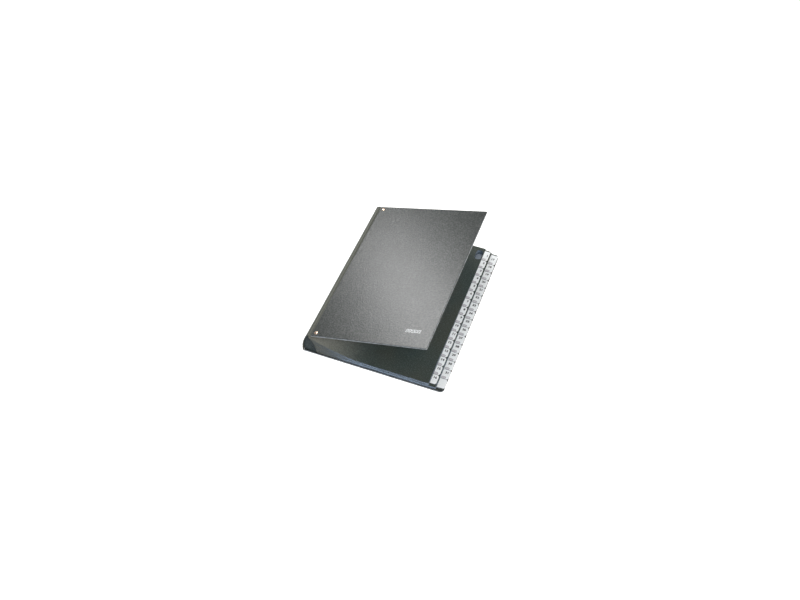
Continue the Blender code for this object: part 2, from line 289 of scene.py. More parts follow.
@dataclass(frozen=True)
class BindingCloth(Finish):
    """Coated book cloth: a fine plain weave filled with black starch, matte with a faint thread sheen."""

    ground: str = "#3A3C34"
    thread: str = "#6A6C60"
    spacing: float = 1.0 * MM  # threads lie 0.5 mm apart: drawn twice as coarse so that they show
    slub: float = 4 * MM
    depth: float = 0.05 * MM
    relief: float = 0.5

    def dress(
        self, tree: bpy.types.NodeTree, shader: bpy.types.Node, place: bpy.types.NodeSocket
    ) -> None:
        """Warp and weft are two sets of bands over the piece's own UV map, which is in metres.

        Args:
            tree: the material's node tree.
            shader: its Principled shader.
            place: Object coordinates.
        """
        across = add_node(tree, "ShaderNodeUVMap", uv_map="cloth").outputs["UV"]
        scale = math.pi / (10 * self.spacing)
        warp, weft = (
            add_node(
                tree,
                "ShaderNodeTexWave",
                {"Scale": scale, "Distortion": 0.6, "Detail": 1.0, "Vector": across},
                wave_type="BANDS",
                bands_direction=direction,
            ).outputs["Fac"]
            for direction in ("X", "Y")
        )
        weave = add_node(tree, "ShaderNodeMath", {0: warp, 1: weft}, operation="ADD")
        slubs = add_node(
            tree, "ShaderNodeTexNoise", {"Scale": 1 / self.slub, "Detail": 3.0, "Vector": place}
        )
        crossing = add_node(
            tree,
            "ShaderNodeMapRange",
            {"Value": weave.outputs["Value"], "From Min": 0.3, "From Max": 1.9, "To Max": 0.7},
        )
        faded = add_node(
            tree,
            "ShaderNodeMapRange",
            {"Value": slubs.outputs["Fac"], "From Min": 0.4, "From Max": 0.75, "To Max": 0.5},
        )
        ground, thread = linear(self.ground), linear(self.thread)
        woven = add_node(
            tree,
            "ShaderNodeMix",
            {MIX_SHARE: crossing.outputs["Result"], MIX_LOW: ground, MIX_HIGH: thread},
            data_type="RGBA",
        )
        self.paint(tree, shader, faded.outputs["Result"], woven.outputs[MIX_OUT], ground)
        self.emboss(tree, shader, weave.outputs["Value"], self.depth, self.relief)


@dataclass(frozen=True)
class DyedCard(Finish):
    """Stiff card dyed black in the pulp: a soft even face with faint fibres and scattered pale flecks.

    Where the mesh marks the bend up to the spine, the colour goes to a browner, paler grey: painted light
    falling on the bend.
    """

    ground: str = "#232E2B"
    warm: str = "#2E3129"
    fleck: str = "#56635D"
    # painted light on the bend up to the spine: a browner, paler grey
    painted_bend_light: str = "#7C7C74"
    fibre: float = 2.0 * MM  # real fibres are finer: drawn coarse enough to show
    dye_patch: float = 70 * MM
    depth: float = 0.12 * MM
    relief: float = 0.4

    def dress(
        self, tree: bpy.types.NodeTree, shader: bpy.types.Node, place: bpy.types.NodeSocket
    ) -> None:
        """Fibre noise sets the flecks and the bump; a broad noise lets the dye drift warm.

        With f the stretched fibre noise and w the mask, the share of painted light is (f w + w) / 2.

        Args:
            tree: the material's node tree.
            shader: its Principled shader.
            place: Object coordinates.
        """
        fibres = add_node(
            tree,
            "ShaderNodeTexNoise",
            {"Scale": 1 / self.fibre, "Detail": 3.0, "Roughness": 0.65, "Vector": place},
        ).outputs["Fac"]
        drift = add_node(
            tree, "ShaderNodeTexNoise", {"Scale": 1 / self.dye_patch, "Detail": 2.0, "Vector": place}
        ).outputs["Fac"]
        tone, flecks, bend_light_patches = (
            add_node(
                tree,
                "ShaderNodeMapRange",
                {"Value": noise, "From Min": low, "From Max": high, "To Max": top},
            ).outputs["Result"]
            for noise, low, high, top in (
                (drift, 0.40, 0.68, 1.0),
                (fibres, 0.46, 0.72, 0.7),
                (fibres, 0.30, 0.60, 1.0),
            )
        )
        dyed = add_node(
            tree,
            "ShaderNodeMix",
            {MIX_SHARE: tone, MIX_LOW: linear(self.ground), MIX_HIGH: linear(self.warm)},
            data_type="RGBA",
        )
        flecked = add_node(
            tree,
            "ShaderNodeMix",
            {MIX_SHARE: flecks, MIX_LOW: dyed.outputs[MIX_OUT], MIX_HIGH: linear(self.fleck)},
            data_type="RGBA",
        )
        # painted light on the bend, made patchy by the fibres
        wear = add_node(tree, "ShaderNodeAttribute", attribute_name="wear").outputs["Fac"]
        patchy = add_node(
            tree, "ShaderNodeMath", {0: bend_light_patches, 1: wear, 2: wear}, operation="MULTIPLY_ADD"
        )
        painted_bend_light = add_node(
            tree, "ShaderNodeMapRange", {"Value": patchy.outputs["Value"], "From Max": 2.0}
        )
        self.paint(
            tree, shader, painted_bend_light.outputs["Result"], flecked.outputs[MIX_OUT], linear(self.painted_bend_light)
        )
        self.emboss(tree, shader, fibres, self.depth, self.relief)


@dataclass(frozen=True)
class PlainStock(Finish):
    """A plain sheet or film with two close tones and a fine tooth: paper, printing ink, acrylic."""

    tone: str = "#F2F2F0"
    shade: str = "#DEDFE0"
    tooth: float = 1.2 * MM
    depth: float = 0.02 * MM
    relief: float = 0.25
    glow: float = 0.0  # for the light table, which is lit from below

    def dress(
        self, tree: bpy.types.NodeTree, shader: bpy.types.Node, place: bpy.types.NodeSocket
    ) -> None:
        """A noise of the sheet's tooth moves between the two tones and lifts the surface.

        Args:
            tree: the material's node tree.
            shader: its Principled shader.
            place: Object coordinates.
        """
        tooth = add_node(
            tree,
            "ShaderNodeTexNoise",
            {"Scale": 1 / self.tooth, "Detail": 3.0, "Roughness": 0.6, "Vector": place},
        ).outputs["Fac"]
        share = add_node(
            tree, "ShaderNodeMapRange", {"Value": tooth, "From Min": 0.35, "From Max": 0.70}
        )
        self.paint(tree, shader, share.outputs["Result"], linear(self.tone), linear(self.shade))
        shader.inputs["Emission Color"].default_value = linear(self.tone)
        shader.inputs["Emission Strength"].default_value = self.glow
        self.emboss(tree, shader, tooth, self.depth, self.relief)


@dataclass(frozen=True)
class CutCard(Finish):
    """The cut edges of dyed card, seen as a stack: blue-grey streaks that run along each edge.

    The stack is darker toward the roots, where the pleats hold the leaves close: painted shade.
    """

    tone: str = "#8695A6"
    streak: str = "#4C5866"
    # painted shade toward the roots
    root_shade: str = "#2F3C42"
    spacing: float = 1.5 * MM  # a leaf's edge is about a sixth of this: drawn coarser so that it shows
    run: float = 0.06  # along the edge, the streaks are this share as frequent
    depth: float = 0.05 * MM
    relief: float = 0.3

    def dress(
        self, tree: bpy.types.NodeTree, shader: bpy.types.Node, place: bpy.types.NodeSocket
    ) -> None:
        """Noise squeezed along X and Y runs in streaks; the mesh says how near the roots it is, for the
        painted shade there.

        Args:
            tree: the material's node tree.
            shader: its Principled shader.
            place: Object coordinates.
        """
        along = add_node(
            tree, "ShaderNodeMapping", {"Scale": (self.run, self.run, 1.0), "Vector": place}
        ).outputs["Vector"]
        streaks = add_node(
            tree,
            "ShaderNodeTexNoise",
            {"Scale": 1 / self.spacing, "Detail": 3.0, "Roughness": 0.7, "Vector": along},
        ).outputs["Fac"]
        # painted shade toward the roots, from the leaf's mask
        wear = add_node(tree, "ShaderNodeAttribute", attribute_name="wear").outputs["Fac"]
        share, near = (
            add_node(
                tree, "ShaderNodeMapRange", {"Value": value, "From Min": low, "From Max": high}
            ).outputs["Result"]
            for value, low, high in ((streaks, 0.36, 0.64), (wear, 0.35, 1.0))
        )
        streaked = add_node(
            tree,
            "ShaderNodeMix",
            {MIX_SHARE: share, MIX_LOW: linear(self.streak), MIX_HIGH: linear(self.tone)},
            data_type="RGBA",
        )
        self.paint(tree, shader, near, streaked.outputs[MIX_OUT], linear(self.root_shade))
        self.emboss(tree, shader, streaks, self.depth, self.relief)


@dataclass(frozen=True)
class PolishedMetal(Finish):
    """Polished or foil metal: mirror-like, with faint rubbing marks that vary its gloss."""

    tone: str = "#DEC3AC"
    stain: str = "#8A6F58"
    mark: float = 0.9 * MM

    def dress(
        self, tree: bpy.types.NodeTree, shader: bpy.types.Node, place: bpy.types.NodeSocket
    ) -> None:
        """Noise the size of the rubbing marks moves both the colour and the roughness.

        Args:
            tree: the material's node tree.
            shader: its Principled shader.
            place: Object coordinates.
        """
        marks = add_node(
            tree, "ShaderNodeTexNoise", {"Scale": 1 / self.mark, "Detail": 3.0, "Vector": place}
        ).outputs["Fac"]
        share = add_node(
            tree,
            "ShaderNodeMapRange",
            {"Value": marks, "From Min": 0.50, "From Max": 0.80, "To Max": 0.6},
        )
        self.paint(tree, shader, share.outputs["Result"], linear(self.tone), linear(self.stain))
        gloss = add_node(
            tree,
            "ShaderNodeMapRange",
            {"Value": marks, "To Min": self.roughness * 0.8, "To Max": self.roughness * 1.3},
        )
        tree.links.new(gloss.outputs["Result"], shader.inputs["Roughness"])


class Stock(Enum):
    """Every finish on the file, by what it is used for."""

    # Varnish over the grain: a broad grey sheen on black, with pale edges that are partly scuffs, partly a
    # painted highlight.
    COVER = GrainedCoverPaper("embossed_cover_paper", 0.31)
    # The same paper inside, where no varnish was rubbed up: darker and flatter.
    TURN_IN = GrainedCoverPaper("cover_paper_turned_in", 0.50)
    # A warm charcoal with a weave that shows only near by.
    CLOTH = BindingCloth("coated_book_cloth", 0.50)
    # Flat, cold black with hardly a highlight.
    PLEAT = DyedCard("pleated_black_card", 0.70, ground="#2A3334", warm="#2C3131", fleck="#46504F")
    # Greenish black with a soft sheen, and painted light where it bends up to the spine: browner and paler
    # there.
    CARD = DyedCard("dyed_black_card", 0.52)
    # Blue-grey lines along the stack's cut sides, with painted shade toward the roots.
    CARD_EDGE = CutCard("cut_card_edge", 0.75)
    # Near white and matte: the brightest thing on the file.
    LABEL = PlainStock("white_label_paper", 0.60, tone="#E9ECEC", shade="#D7DADC")
    # Uncoated blue-grey paper with no gloss.
    LINING = PlainStock("grey_lining_paper", 0.80, tone="#A9B2BC", shade="#8D96A1", tooth=1.5 * MM)
    # Dense black that takes a little light.
    INK = PlainStock("black_printing_ink", 0.60, tone="#0C0D0F", shade="#17181B", tooth=0.8 * MM)
    # A mid grey line: painted shadow at the foot of a tab, where it steps down to the next.
    STEP_SHADOW_LINE = PlainStock("grey_line_ink", 0.60, tone="#87848A", shade="#757278")
    # A thin grey fill that the paper shows through: painted shadow at the foot of a tab.
    STEP_SHADOW_FILL = PlainStock("pale_tint_ink", 0.60, tone="#C4C2C6", shade="#B3B1B5")
    # Silver film pressed into the grain: bright but broken.
    FOIL = PolishedMetal("silver_stamping_foil", 0.45, 1.0, tone="#C4C7C8", stain="#A3A6A7")
    # Pale pinkish brass that mirrors the lamps as small hard lights.
    BRASS = PolishedMetal("polished_pale_brass", 0.17, 1.0)
    # Opal acrylic lit from below: even white, with hardly a shadow on it.
    FLOOR = PlainStock(
        "light_table_acrylic", 0.95, tone="#F4F4F3", shade="#F0F0EF", tooth=30 * MM, glow=0.6
    )

    def material(self) -> bpy.types.Material:
        """This finish's one material, made the first time that it is asked for."""
        made = bpy.data.materials.get(self.value.name)
        return made or self.value.material()


# ------------------------------------------------------------------ surfaces as arrays
def grid_quads(rows: int, columns: int, closed: bool = False) -> np.ndarray:
    """Corner numbers of the quads of a grid of points, facing up where rows run +X and columns +Y.

    Args:
        rows: how many rows of points there are.
        columns: how many points a row has.
        closed: whether each row's last point joins its first.

    Returns:
        One row of four corner numbers for each quad.
    """
    index = np.arange(rows * columns).reshape(rows, columns)
    if closed:
        index = np.concatenate([index, index[:, :1]], axis=1)
    corners = [index[:-1, :-1], index[1:, :-1], index[1:, 1:], index[:-1, 1:]]
    return np.stack(corners, axis=-1).reshape(-1, 4)


def thickened(
    points: np.ndarray, quads: np.ndarray, thickness: float
) -> tuple[np.ndarray, np.ndarray, np.ndarray]:
    """Gives a sheet a thickness: each point moves half of it along its normal, both ways.

    A side with no twin running the other way lies on the rim, and gets a wall.

    Args:
        points: the sheet's points.
        quads: its quads.
        thickness: how thick it becomes.

    Returns:
        The points, the quads, and whether each quad is a rim wall.
    """
    used, quads = np.unique(quads, return_inverse=True)
    points, quads = points[used], quads.reshape(-1, 4)
    corners = points[quads]
    across = np.cross(corners[:, 2] - corners[:, 0], corners[:, 3] - corners[:, 1])
    normals = np.zeros_like(points)
    np.add.at(normals, quads.ravel(), np.repeat(across, 4, axis=0))
    normals *= thickness / 2 / np.linalg.norm(normals, axis=1, keepdims=True)
    count = len(points)
    sides = np.stack([quads, np.roll(quads, -1, axis=1)], axis=-1).reshape(-1, 2)
    forward, backward = sides @ (count, 1), sides @ (1, count)
    rim = sides[~np.isin(forward, backward)]
    walls = np.stack([rim[:, 1], rim[:, 0], rim[:, 0] + count, rim[:, 1] + count], axis=1)
    solid = np.concatenate([quads, quads[:, ::-1] + count, walls])
    is_wall = np.arange(len(solid)) >= 2 * len(quads)
    return np.concatenate([points + normals, points - normals]), solid, is_wall


def smooth_path(knots: np.ndarray, steps: int) -> np.ndarray:
    """A smooth line through the knots, by the Catmull-Rom cubic between each pair.

    Args:
        knots: the points that it passes through.
        steps: points made for each stretch between two knots.

    Returns:
        The line's points, the last knot among them.
    """
    ends = np.concatenate([[2 * knots[0] - knots[1]], knots, [2 * knots[-1] - knots[-2]]])
    p0, p1, p2, p3 = (ends[i : len(ends) - 3 + i, None] for i in range(4))
    t = (np.arange(steps) / steps)[None, :, None]
    line = p1 + t * (p2 - p0) / 2
    line = line + t**2 * (2 * p0 - 5 * p1 + 4 * p2 - p3) / 2
    line = line + t**3 * (3 * p1 - p0 - 3 * p2 + p3) / 2
    return np.concatenate([line.reshape(-1, knots.shape[1]), knots[-1:]])


def lengths_along(line: np.ndarray) -> np.ndarray:
    """How far along a line each of its points lies: 0 at the first."""
    return np.concatenate([[0], np.cumsum(np.linalg.norm(np.diff(line, axis=0), axis=1))])


def smooth_step(value: np.ndarray) -> np.ndarray:
    """Rises from 0 to 1 as 3 v squared less 2 v cubed, and stays at each end."""
    value = np.clip(value, 0.0, 1.0)
    return value * value * (3 - 2 * value)


def squashed_to_round(
    plane: np.ndarray, centre: np.ndarray, radius: float, keep: np.ndarray
) -> np.ndarray:
    """Turns a square patch's rings into round ones.

    Each offset from the centre scales by its largest part over its length.

    Args:
        plane: points in X and Y.
        centre: the patch's centre.
        radius: half the patch's side.
        keep: which points may move.

    Returns:
        The points, with those in the patch moved.
    """
    offset = plane - centre
    largest = np.abs(offset).max(axis=-1)
    length = np.linalg.norm(offset, axis=-1)
    moves = keep & (largest <= radius * 1.0001) & (length > 1e-9)
    share = np.where(moves, largest / np.maximum(length, 1e-9), 1.0)
    return centre + offset * share[..., None]


@dataclass
class Piece:
    """One visible piece: its mesh as arrays, and what it is made of."""

    name: str
    points: np.ndarray
    faces: Sequence[np.ndarray]
    stocks: Sequence[Stock]
    slots: np.ndarray | None = None
    # a mask at each point: edge wear with a painted highlight on boards, painted light and painted shade on
    # leaves
    wear: np.ndarray | None = None
    cloth: np.ndarray | None = None
    sharp_above: float = 40.0
    close_poles: bool = False

    def build(
        self, body: str | None, slot: str, replaces: Sequence[str] = ()
    ) -> bpy.types.Object:
        """Makes the object, dresses it, and lets it ride on a body of the frame.

        Args:
            body: the body that it moves with, or None for a piece that rides on no body.
            slot: a record slot's name, which is not used.
            replaces: the frame's nodes that it stands for.

        Returns:
            The finished object.
        """
        mesh = bpy.data.meshes.new(self.name)
        loops = np.concatenate([f.ravel() for f in self.faces]).astype(np.int32)
        sizes = np.concatenate([np.full(len(f), f.shape[1]) for f in self.faces])
        mesh.vertices.add(len(self.points))
        mesh.vertices.foreach_set("co", self.points.astype(np.float32).ravel())
        mesh.loops.add(len(loops))
        mesh.loops.foreach_set("vertex_index", loops)
        mesh.polygons.add(len(sizes))
        mesh.polygons.foreach_set("loop_start", (np.cumsum(sizes) - sizes).astype(np.int32))
        if self.slots is not None:
            mesh.polygons.foreach_set("material_index", self.slots.astype(np.int32))
        if self.wear is not None:
            layer = mesh.attributes.new("wear", "FLOAT", "POINT")
            layer.data.foreach_set("value", self.wear.astype(np.float32))
        if self.cloth is not None:
            layer = mesh.uv_layers.new(name="cloth")
            layer.data.foreach_set("uv", self.cloth[loops].astype(np.float32).ravel())
        mesh.update(calc_edges=True)
        mesh.validate()
        if self.close_poles:
            self._merge_doubles(mesh)
        for stock in self.stocks:
            mesh.materials.append(stock.material())
        mesh.shade_smooth()
        mesh.set_sharp_from_angle(angle=math.radians(self.sharp_above))
        piece = bpy.data.objects.new(self.name, mesh)
        bpy.context.scene.collection.objects.link(piece)
        if body:
            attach(piece, body)
        if replaces:
            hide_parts(*replaces)
        LOG.info("%s: %d faces on %s", self.name, len(mesh.polygons), body or "two bodies")
        return piece

    @staticmethod
    def _merge_doubles(mesh: bpy.types.Mesh) -> None:
        """Merges the points that meet at poles and seams, and turns every face outwards.

        Args:
            mesh: the mesh to close.
        """
        work = bmesh.new()
        work.from_mesh(mesh)
        bmesh.ops.remove_doubles(work, verts=work.verts, dist=1e-6)
        bmesh.ops.recalc_face_normals(work, faces=work.faces)
        work.to_mesh(mesh)
        work.free()


# ------------------------------------------------------------------ what the frame says
def node_points(node: str) -> np.ndarray:
    """The points of one of the frame's nodes.

    Args:
        node: the node's name.

    Returns:
        One row for each point.
    """
    mesh = frame["nodes"][node].data
    points = np.empty(len(mesh.vertices) * 3, np.float32)
    mesh.vertices.foreach_get("co", points)
    return points.reshape(-1, 3).astype(float)


@dataclass(frozen=True)
class TiltedPlace:
    """The front cover's own frame: U along the cover from its hinge line, W out of its face."""

    hinge: np.ndarray
    tilt: float

    @classmethod
    def from_frame(cls) -> "TiltedPlace":
        """Reads the hinge line from its joint, and the tilt from the board's two ends.

        Returns:
            The cover's frame.
        """
        joint = next(j for j in frame["joints"] if j["name"] == "front_cover_hinge")
        points = node_points("front_cover_board")
        end = 3 * MM
        low, high = points[:, 0].min(), points[:, 0].max()
        near = points[points[:, 0] < low + end].mean(axis=0)
        far = points[points[:, 0] > high - end].mean(axis=0)
        return cls(np.array(joint["pos_m"]), math.atan2(far[2] - near[2], far[0] - near[0]))

    def out(self, points: np.ndarray) -> np.ndarray:
        """Carries points out of the cover's frame: (u cos - w sin, y, u sin + w cos) + hinge.

        Args:
            points: places in U, Y and W.

        Returns:
            The same places in X, Y and Z.
        """
        u, y, w = np.moveaxis(points, -1, 0)
        cos, sin = math.cos(self.tilt), math.sin(self.tilt)
        turned = np.stack([u * cos - w * sin, y, u * sin + w * cos], axis=-1)
        return turned + self.hinge

    def back(self, points: np.ndarray) -> np.ndarray:
        """Carries points into the cover's frame, which undoes out.

        Args:
            points: places in X, Y and Z.

        Returns:
            The same places in U, Y and W.
        """
        x, y, z = np.moveaxis(points - self.hinge, -1, 0)
        cos, sin = math.cos(self.tilt), math.sin(self.tilt)
        return np.stack([x * cos + z * sin, y, z * cos - x * sin], axis=-1)

    def box(self, node: str) -> tuple[np.ndarray, np.ndarray]:
        """The lowest and highest corners of a cover node in U, Y and W."""
        local = self.back(node_points(node))
        return local.min(axis=0), local.max(axis=0)


# ------------------------------------------------------------------ boards and sheets
@dataclass
class Board:
    """Binder's board wrapped in paper: a slab whose edges are rounded by the wrap.

    Each ring of points is the plan's outline drawn in by some inset, at some height.  On the
    rounded edge the inset is e (1 - sin a) and the height drops by e (1 - cos a).
    """

    low: np.ndarray
    high: np.ndarray
    corner_radii: tuple[float, float, float, float]
    edge_radius: float = 0.7 * MM
    flat_from: float = 2.2  # edge radii in from the side, where the flat face's outline runs
    edge_steps: int = 5
    corner_steps: int = 8
    least_radius: float = 0.05 * MM

    def outline(self, inset: float) -> np.ndarray:
        """The plan drawn in by an inset, anticlockwise from the corner at low X and low Y.

        Args:
            inset: how far inside the board's sides it runs.

        Returns:
            Points in X and Y.
        """
        low, high = self.low[:2] + inset, self.high[:2] - inset
        signs = np.array([(1, 1), (-1, 1), (-1, -1), (1, -1)])
        corners = np.array([low, (high[0], low[1]), high, (low[0], high[1])])
        radii = np.maximum(np.array(self.corner_radii) - inset, self.least_radius)
        centres = corners + signs * radii[:, None]
        starts = np.pi * np.array([1.0, 1.5, 0.0, 0.5])
        angles = starts[:, None] + np.linspace(0, np.pi / 2, self.corner_steps)
        round_part = np.stack([np.cos(angles), np.sin(angles)], axis=-1)
        return (centres[:, None] + radii[:, None, None] * round_part).reshape(-1, 2)

    def surface(self) -> tuple[np.ndarray, list[np.ndarray], np.ndarray]:
        """The closed slab.

        Returns:
            Its points, its faces, and a mask at each point: 1 on the rounded edges, where the cover paper
            shows wear and a painted highlight.
        """
        e = self.edge_radius
        angles = np.linspace(0, np.pi / 2, self.edge_steps)
        inset = e * (1 - np.sin(angles))
        drop = e * (1 - np.cos(angles))
        insets = np.concatenate([[self.flat_from * e], inset, inset[::-1], [self.flat_from * e]])
        heights = np.concatenate(
            [[self.low[2]], self.low[2] + drop, self.high[2] - drop[::-1], [self.high[2]]]
        )
        rings = [
            np.column_stack([self.outline(i), np.full(4 * self.corner_steps, h)])
            for i, h in zip(insets, heights)
        ]
        points = np.concatenate(rings)
        per_ring = len(rings[0])
        walls = grid_quads(len(rings), per_ring, closed=True)[:, ::-1]
        bottom = np.arange(per_ring)[::-1][None]
        top = (np.arange(per_ring) + per_ring * (len(rings) - 1))[None]
        wear = np.repeat((insets < e * 0.999).astype(float), per_ring)
        return points, [walls, bottom, top], wear


@dataclass
class RoundPart:
    """A turned metal part: a profile of radius and height swept once round an upright line."""

    profile: np.ndarray
    steps: int = 40

    def surface(self, centre: np.ndarray) -> tuple[np.ndarray, np.ndarray]:
        """The swept surface: x = r cos a, y = r sin a, z = height, about the centre.

        Args:
            centre: where the profile's zero stands.

        Returns:
            Its points and its quads.
        """
        angles = np.linspace(0, 2 * np.pi, self.steps, endpoint=False)
        r, z = self.profile[:, :1], self.profile[:, 1:]
        ring = [r * np.cos(angles), r * np.sin(angles), z + 0 * angles]
        points = np.stack(ring, axis=-1).reshape(-1, 3) + centre
        return points, grid_quads(len(self.profile), self.steps, closed=True)


@dataclass
class Rivet:
    """One hollow-set rivet: a domed head, a shank, and a rolled tail."""

    head_radius: float = 3.3 * MM
    shank_share: float = 0.39  # shank and tail radii are shares of the head's
    tail_share: float = 0.72
    dome_steps: int = 9

    def profile(self, low: float, high: float, rim: float, seat: float) -> np.ndarray:
        """Radius and height from the top of the dome to the foot of the tail.

        The dome is an ellipse, r = R sin a and z = rim + (high - rim) cos a.

        Args:
            low: the tail's lowest height.
            high: the dome's top.
            rim: the height of the head's rim.
            seat: the height of the tail's seat.

        Returns:
            The profile's points.
        """
        angles = np.linspace(0, np.pi / 2, self.dome_steps)
        dome = np.column_stack(
            [self.head_radius * np.sin(angles), rim + (high - rim) * np.cos(angles)]
        )
        shank, tail = self.shank_share * self.head_radius, self.tail_share * self.head_radius
        rolled = [(tail, seat), (tail * 0.94, low * 0.6 + seat * 0.4), (tail * 0.75, low)]
        curled_in = [(tail * 0.45, low), (tail * 0.35, seat), (0.0, seat)]
        return np.concatenate([dome, [(shank, rim), (shank, seat)], rolled, curled_in])


# ------------------------------------------------------------------ the front cover
@dataclass
class FrontCover:
    """The front cover: wrapped board, hinge cloth, turned-in paper, rivets and a stamped sign."""

    place: TiltedPlace
    body: str = "front_cover"
    carrier: str = "leaf_01_body"
    corner_radius: float = 1.2 * MM
    cloth_thickness: float = 0.5 * MM
    over_spine: float = 0.30 * MM  # how far the hinge cloth starts outside the spine's crest
    above_spine: float = 0.05 * MM
    tucked_in: float = 1.8 * MM  # how far the hinge cloth is glued in under the board's wrap
    cloth_sink: float = 1.05 * MM  # how deep the cloth lies at the bottom of the groove
    cloth_ripple: float = 0.05 * MM
    bend_length: float = 2.5 * MM  # from the hinge line, where the cloth goes over to the cover
    turn_in: float = 15.0 * MM
    turn_in_edge: float = 0.8 * MM
    turn_in_from_hinge: float = 12.0 * MM  # from the board's inner edge
    turn_in_thickness: float = 0.10 * MM
    rivet_lift: float = 0.1 * MM
    washer_hole: float = 1.6 * MM
    washer_bead: float = 0.12 * MM

    def build(self) -> None:
        """Builds every piece of the cover."""
        self.build_board()
        self.build_turn_ins()
        self.build_hinge_cloth()
        self.build_rivets()
        CoverSign(self.place).build(self.body)
        for node, stock in (("front_lining", Stock.LINING), ("front_gusset_flap", Stock.PLEAT)):
            dress_node(node, stock)

    def build_board(self) -> None:
        """The wrapped board, a little rounded at its edges."""
        low, high = self.place.box("front_cover_board")
        points, faces, wear = Board(low, high, (self.corner_radius,) * 4).surface()
        piece = Piece("cover_board", self.place.out(points), faces, [Stock.COVER], wear=wear)
        piece.build(self.body, "grained_board", ["front_cover_board"])

    def build_turn_ins(self) -> None:
        """The covering paper's margins, folded inside over three edges and mitred at the corners."""
        low, high = self.place.box("front_cover_board")
        edge, depth = self.turn_in_edge, self.turn_in
        x0, x1 = low[0] + self.turn_in_from_hinge, high[0] - edge
        y0, y1 = low[1] + edge, high[1] - edge
        height = low[2] - self.turn_in_thickness / 2 - 0.01 * MM
        outer = np.array([(x0, y0), (x1, y0), (x1, y1), (x0, y1)])
        inner = np.array(
            [(x0, y0 + depth), (x1 - depth, y0 + depth), (x1 - depth, y1 - depth), (x0, y1 - depth)]
        )
        plan = np.stack([outer, inner])
        points = np.concatenate([plan, np.full(plan.shape[:2] + (1,), height)], axis=-1)
        quads = grid_quads(2, 4)[:, ::-1]
        solid, faces, _ = thickened(points.reshape(-1, 3), quads, self.turn_in_thickness)
        piece = Piece("cover_turn_ins", self.place.out(solid), [faces], [Stock.TURN_IN])
        piece.build(self.body, "grained_board")

    def build_hinge_cloth(self) -> None:
        """The cloth joint: over the top of the spine, up to a soft ridge and down by the board.

        It is a smooth line through chosen knots, carried along Y.  A ripple r sin(y / a) sin(y / b)
        lifts it a little.
        """
        low, _ = self.place.box("front_cover_board")
        spine = node_points("spine_cloth")
        crest = spine[np.argmax(spine[:, 2])]
        start = self.place.back(
            np.array([crest[0] - self.over_spine, 0.0, crest[2] + self.above_spine])
        )
        groove = low[0]
        knots = np.array(
            [
                (start[0], start[2]),
                (0.1 * MM, -0.35 * MM),
                (groove * 0.20, -0.10 * MM),
                (groove * 0.38, 0.25 * MM),
                (groove * 0.56, 0.35 * MM),
                (groove * 0.72, -0.15 * MM),
                (groove * 0.84, -0.85 * MM),
                (groove - 0.4 * MM, -self.cloth_sink),
                (groove + self.tucked_in, -self.cloth_sink),
            ]
        )
        line = smooth_path(knots, 6)
        half = spine[:, 1].max()
        lengths = np.linspace(-half, half, 41)
        u, y = np.meshgrid(line[:, 0], lengths, indexing="ij")
        w = line[:, 1][:, None] + self.cloth_ripple * np.sin(y / (23 * MM)) * np.sin(y / (7.1 * MM))
        run = lengths_along(line)
        cloth = np.stack([run[:, None] + 0 * y, y], axis=-1).reshape(-1, 2)
        sheet = np.stack([u, y, w], axis=-1).reshape(-1, 3)
        points, faces, _ = thickened(
            sheet, grid_quads(len(line), len(lengths)), self.cloth_thickness
        )
        piece = Piece(
            "hinge_cloth",
            self.place.out(points),
            [faces],
            [Stock.CLOTH],
            cloth=np.concatenate([cloth, cloth]),
        ).build(None, "spine_cloth", ["front_hinge_strip"])
        ends = [self.place.out(np.array([u_end, 0.0, 0.0])) for u_end in (0.0, self.bend_length)]
        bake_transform(piece)

    def build_rivets(self) -> None:
        """Both rivets of the cover, with the washers that spread their load under the board."""
        _, board_high = self.place.box("front_cover_board")
        for word in ("top", "bottom"):
            node = "front_rivet_" + word
            low, high = self.place.box(node)
            washer_low, washer_high = self.place.box("front_washer_" + word)
            centre = (low + high) / 2 * (1, 1, 0)
            rim, seat = board_high[2] + self.rivet_lift, washer_low[2] - self.rivet_lift
            profile = Rivet().profile(low[2], high[2], rim, seat)
            points, quads = RoundPart(profile).surface(centre)
            rivet = Piece(
                "cover_rivet_" + word,
                self.place.out(points),
                [quads],
                [Stock.BRASS],
                close_poles=True,
            )
            rivet.build(self.body, "rivet_brass", [node])
            inner, outer = self.washer_hole, (washer_high[0] - washer_low[0]) / 2
            bead = self.washer_bead
            ring = np.array(
                [
                    (inner, washer_high[2]),
                    (outer - bead, washer_high[2]),
                    (outer, washer_high[2] - bead),
                    (outer, washer_low[2] + bead),
                    (outer - bead, washer_low[2]),
                    (inner, washer_low[2]),
                    (inner, washer_high[2]),
                ]
            )
            points, quads = RoundPart(ring).surface(centre)
            washer = Piece(
                "cover_washer_" + word,
                self.place.out(points),
                [quads],
                [Stock.BRASS],
                close_poles=True,
            )
            washer.build(self.body, "rivet_brass", ["front_washer_" + word])


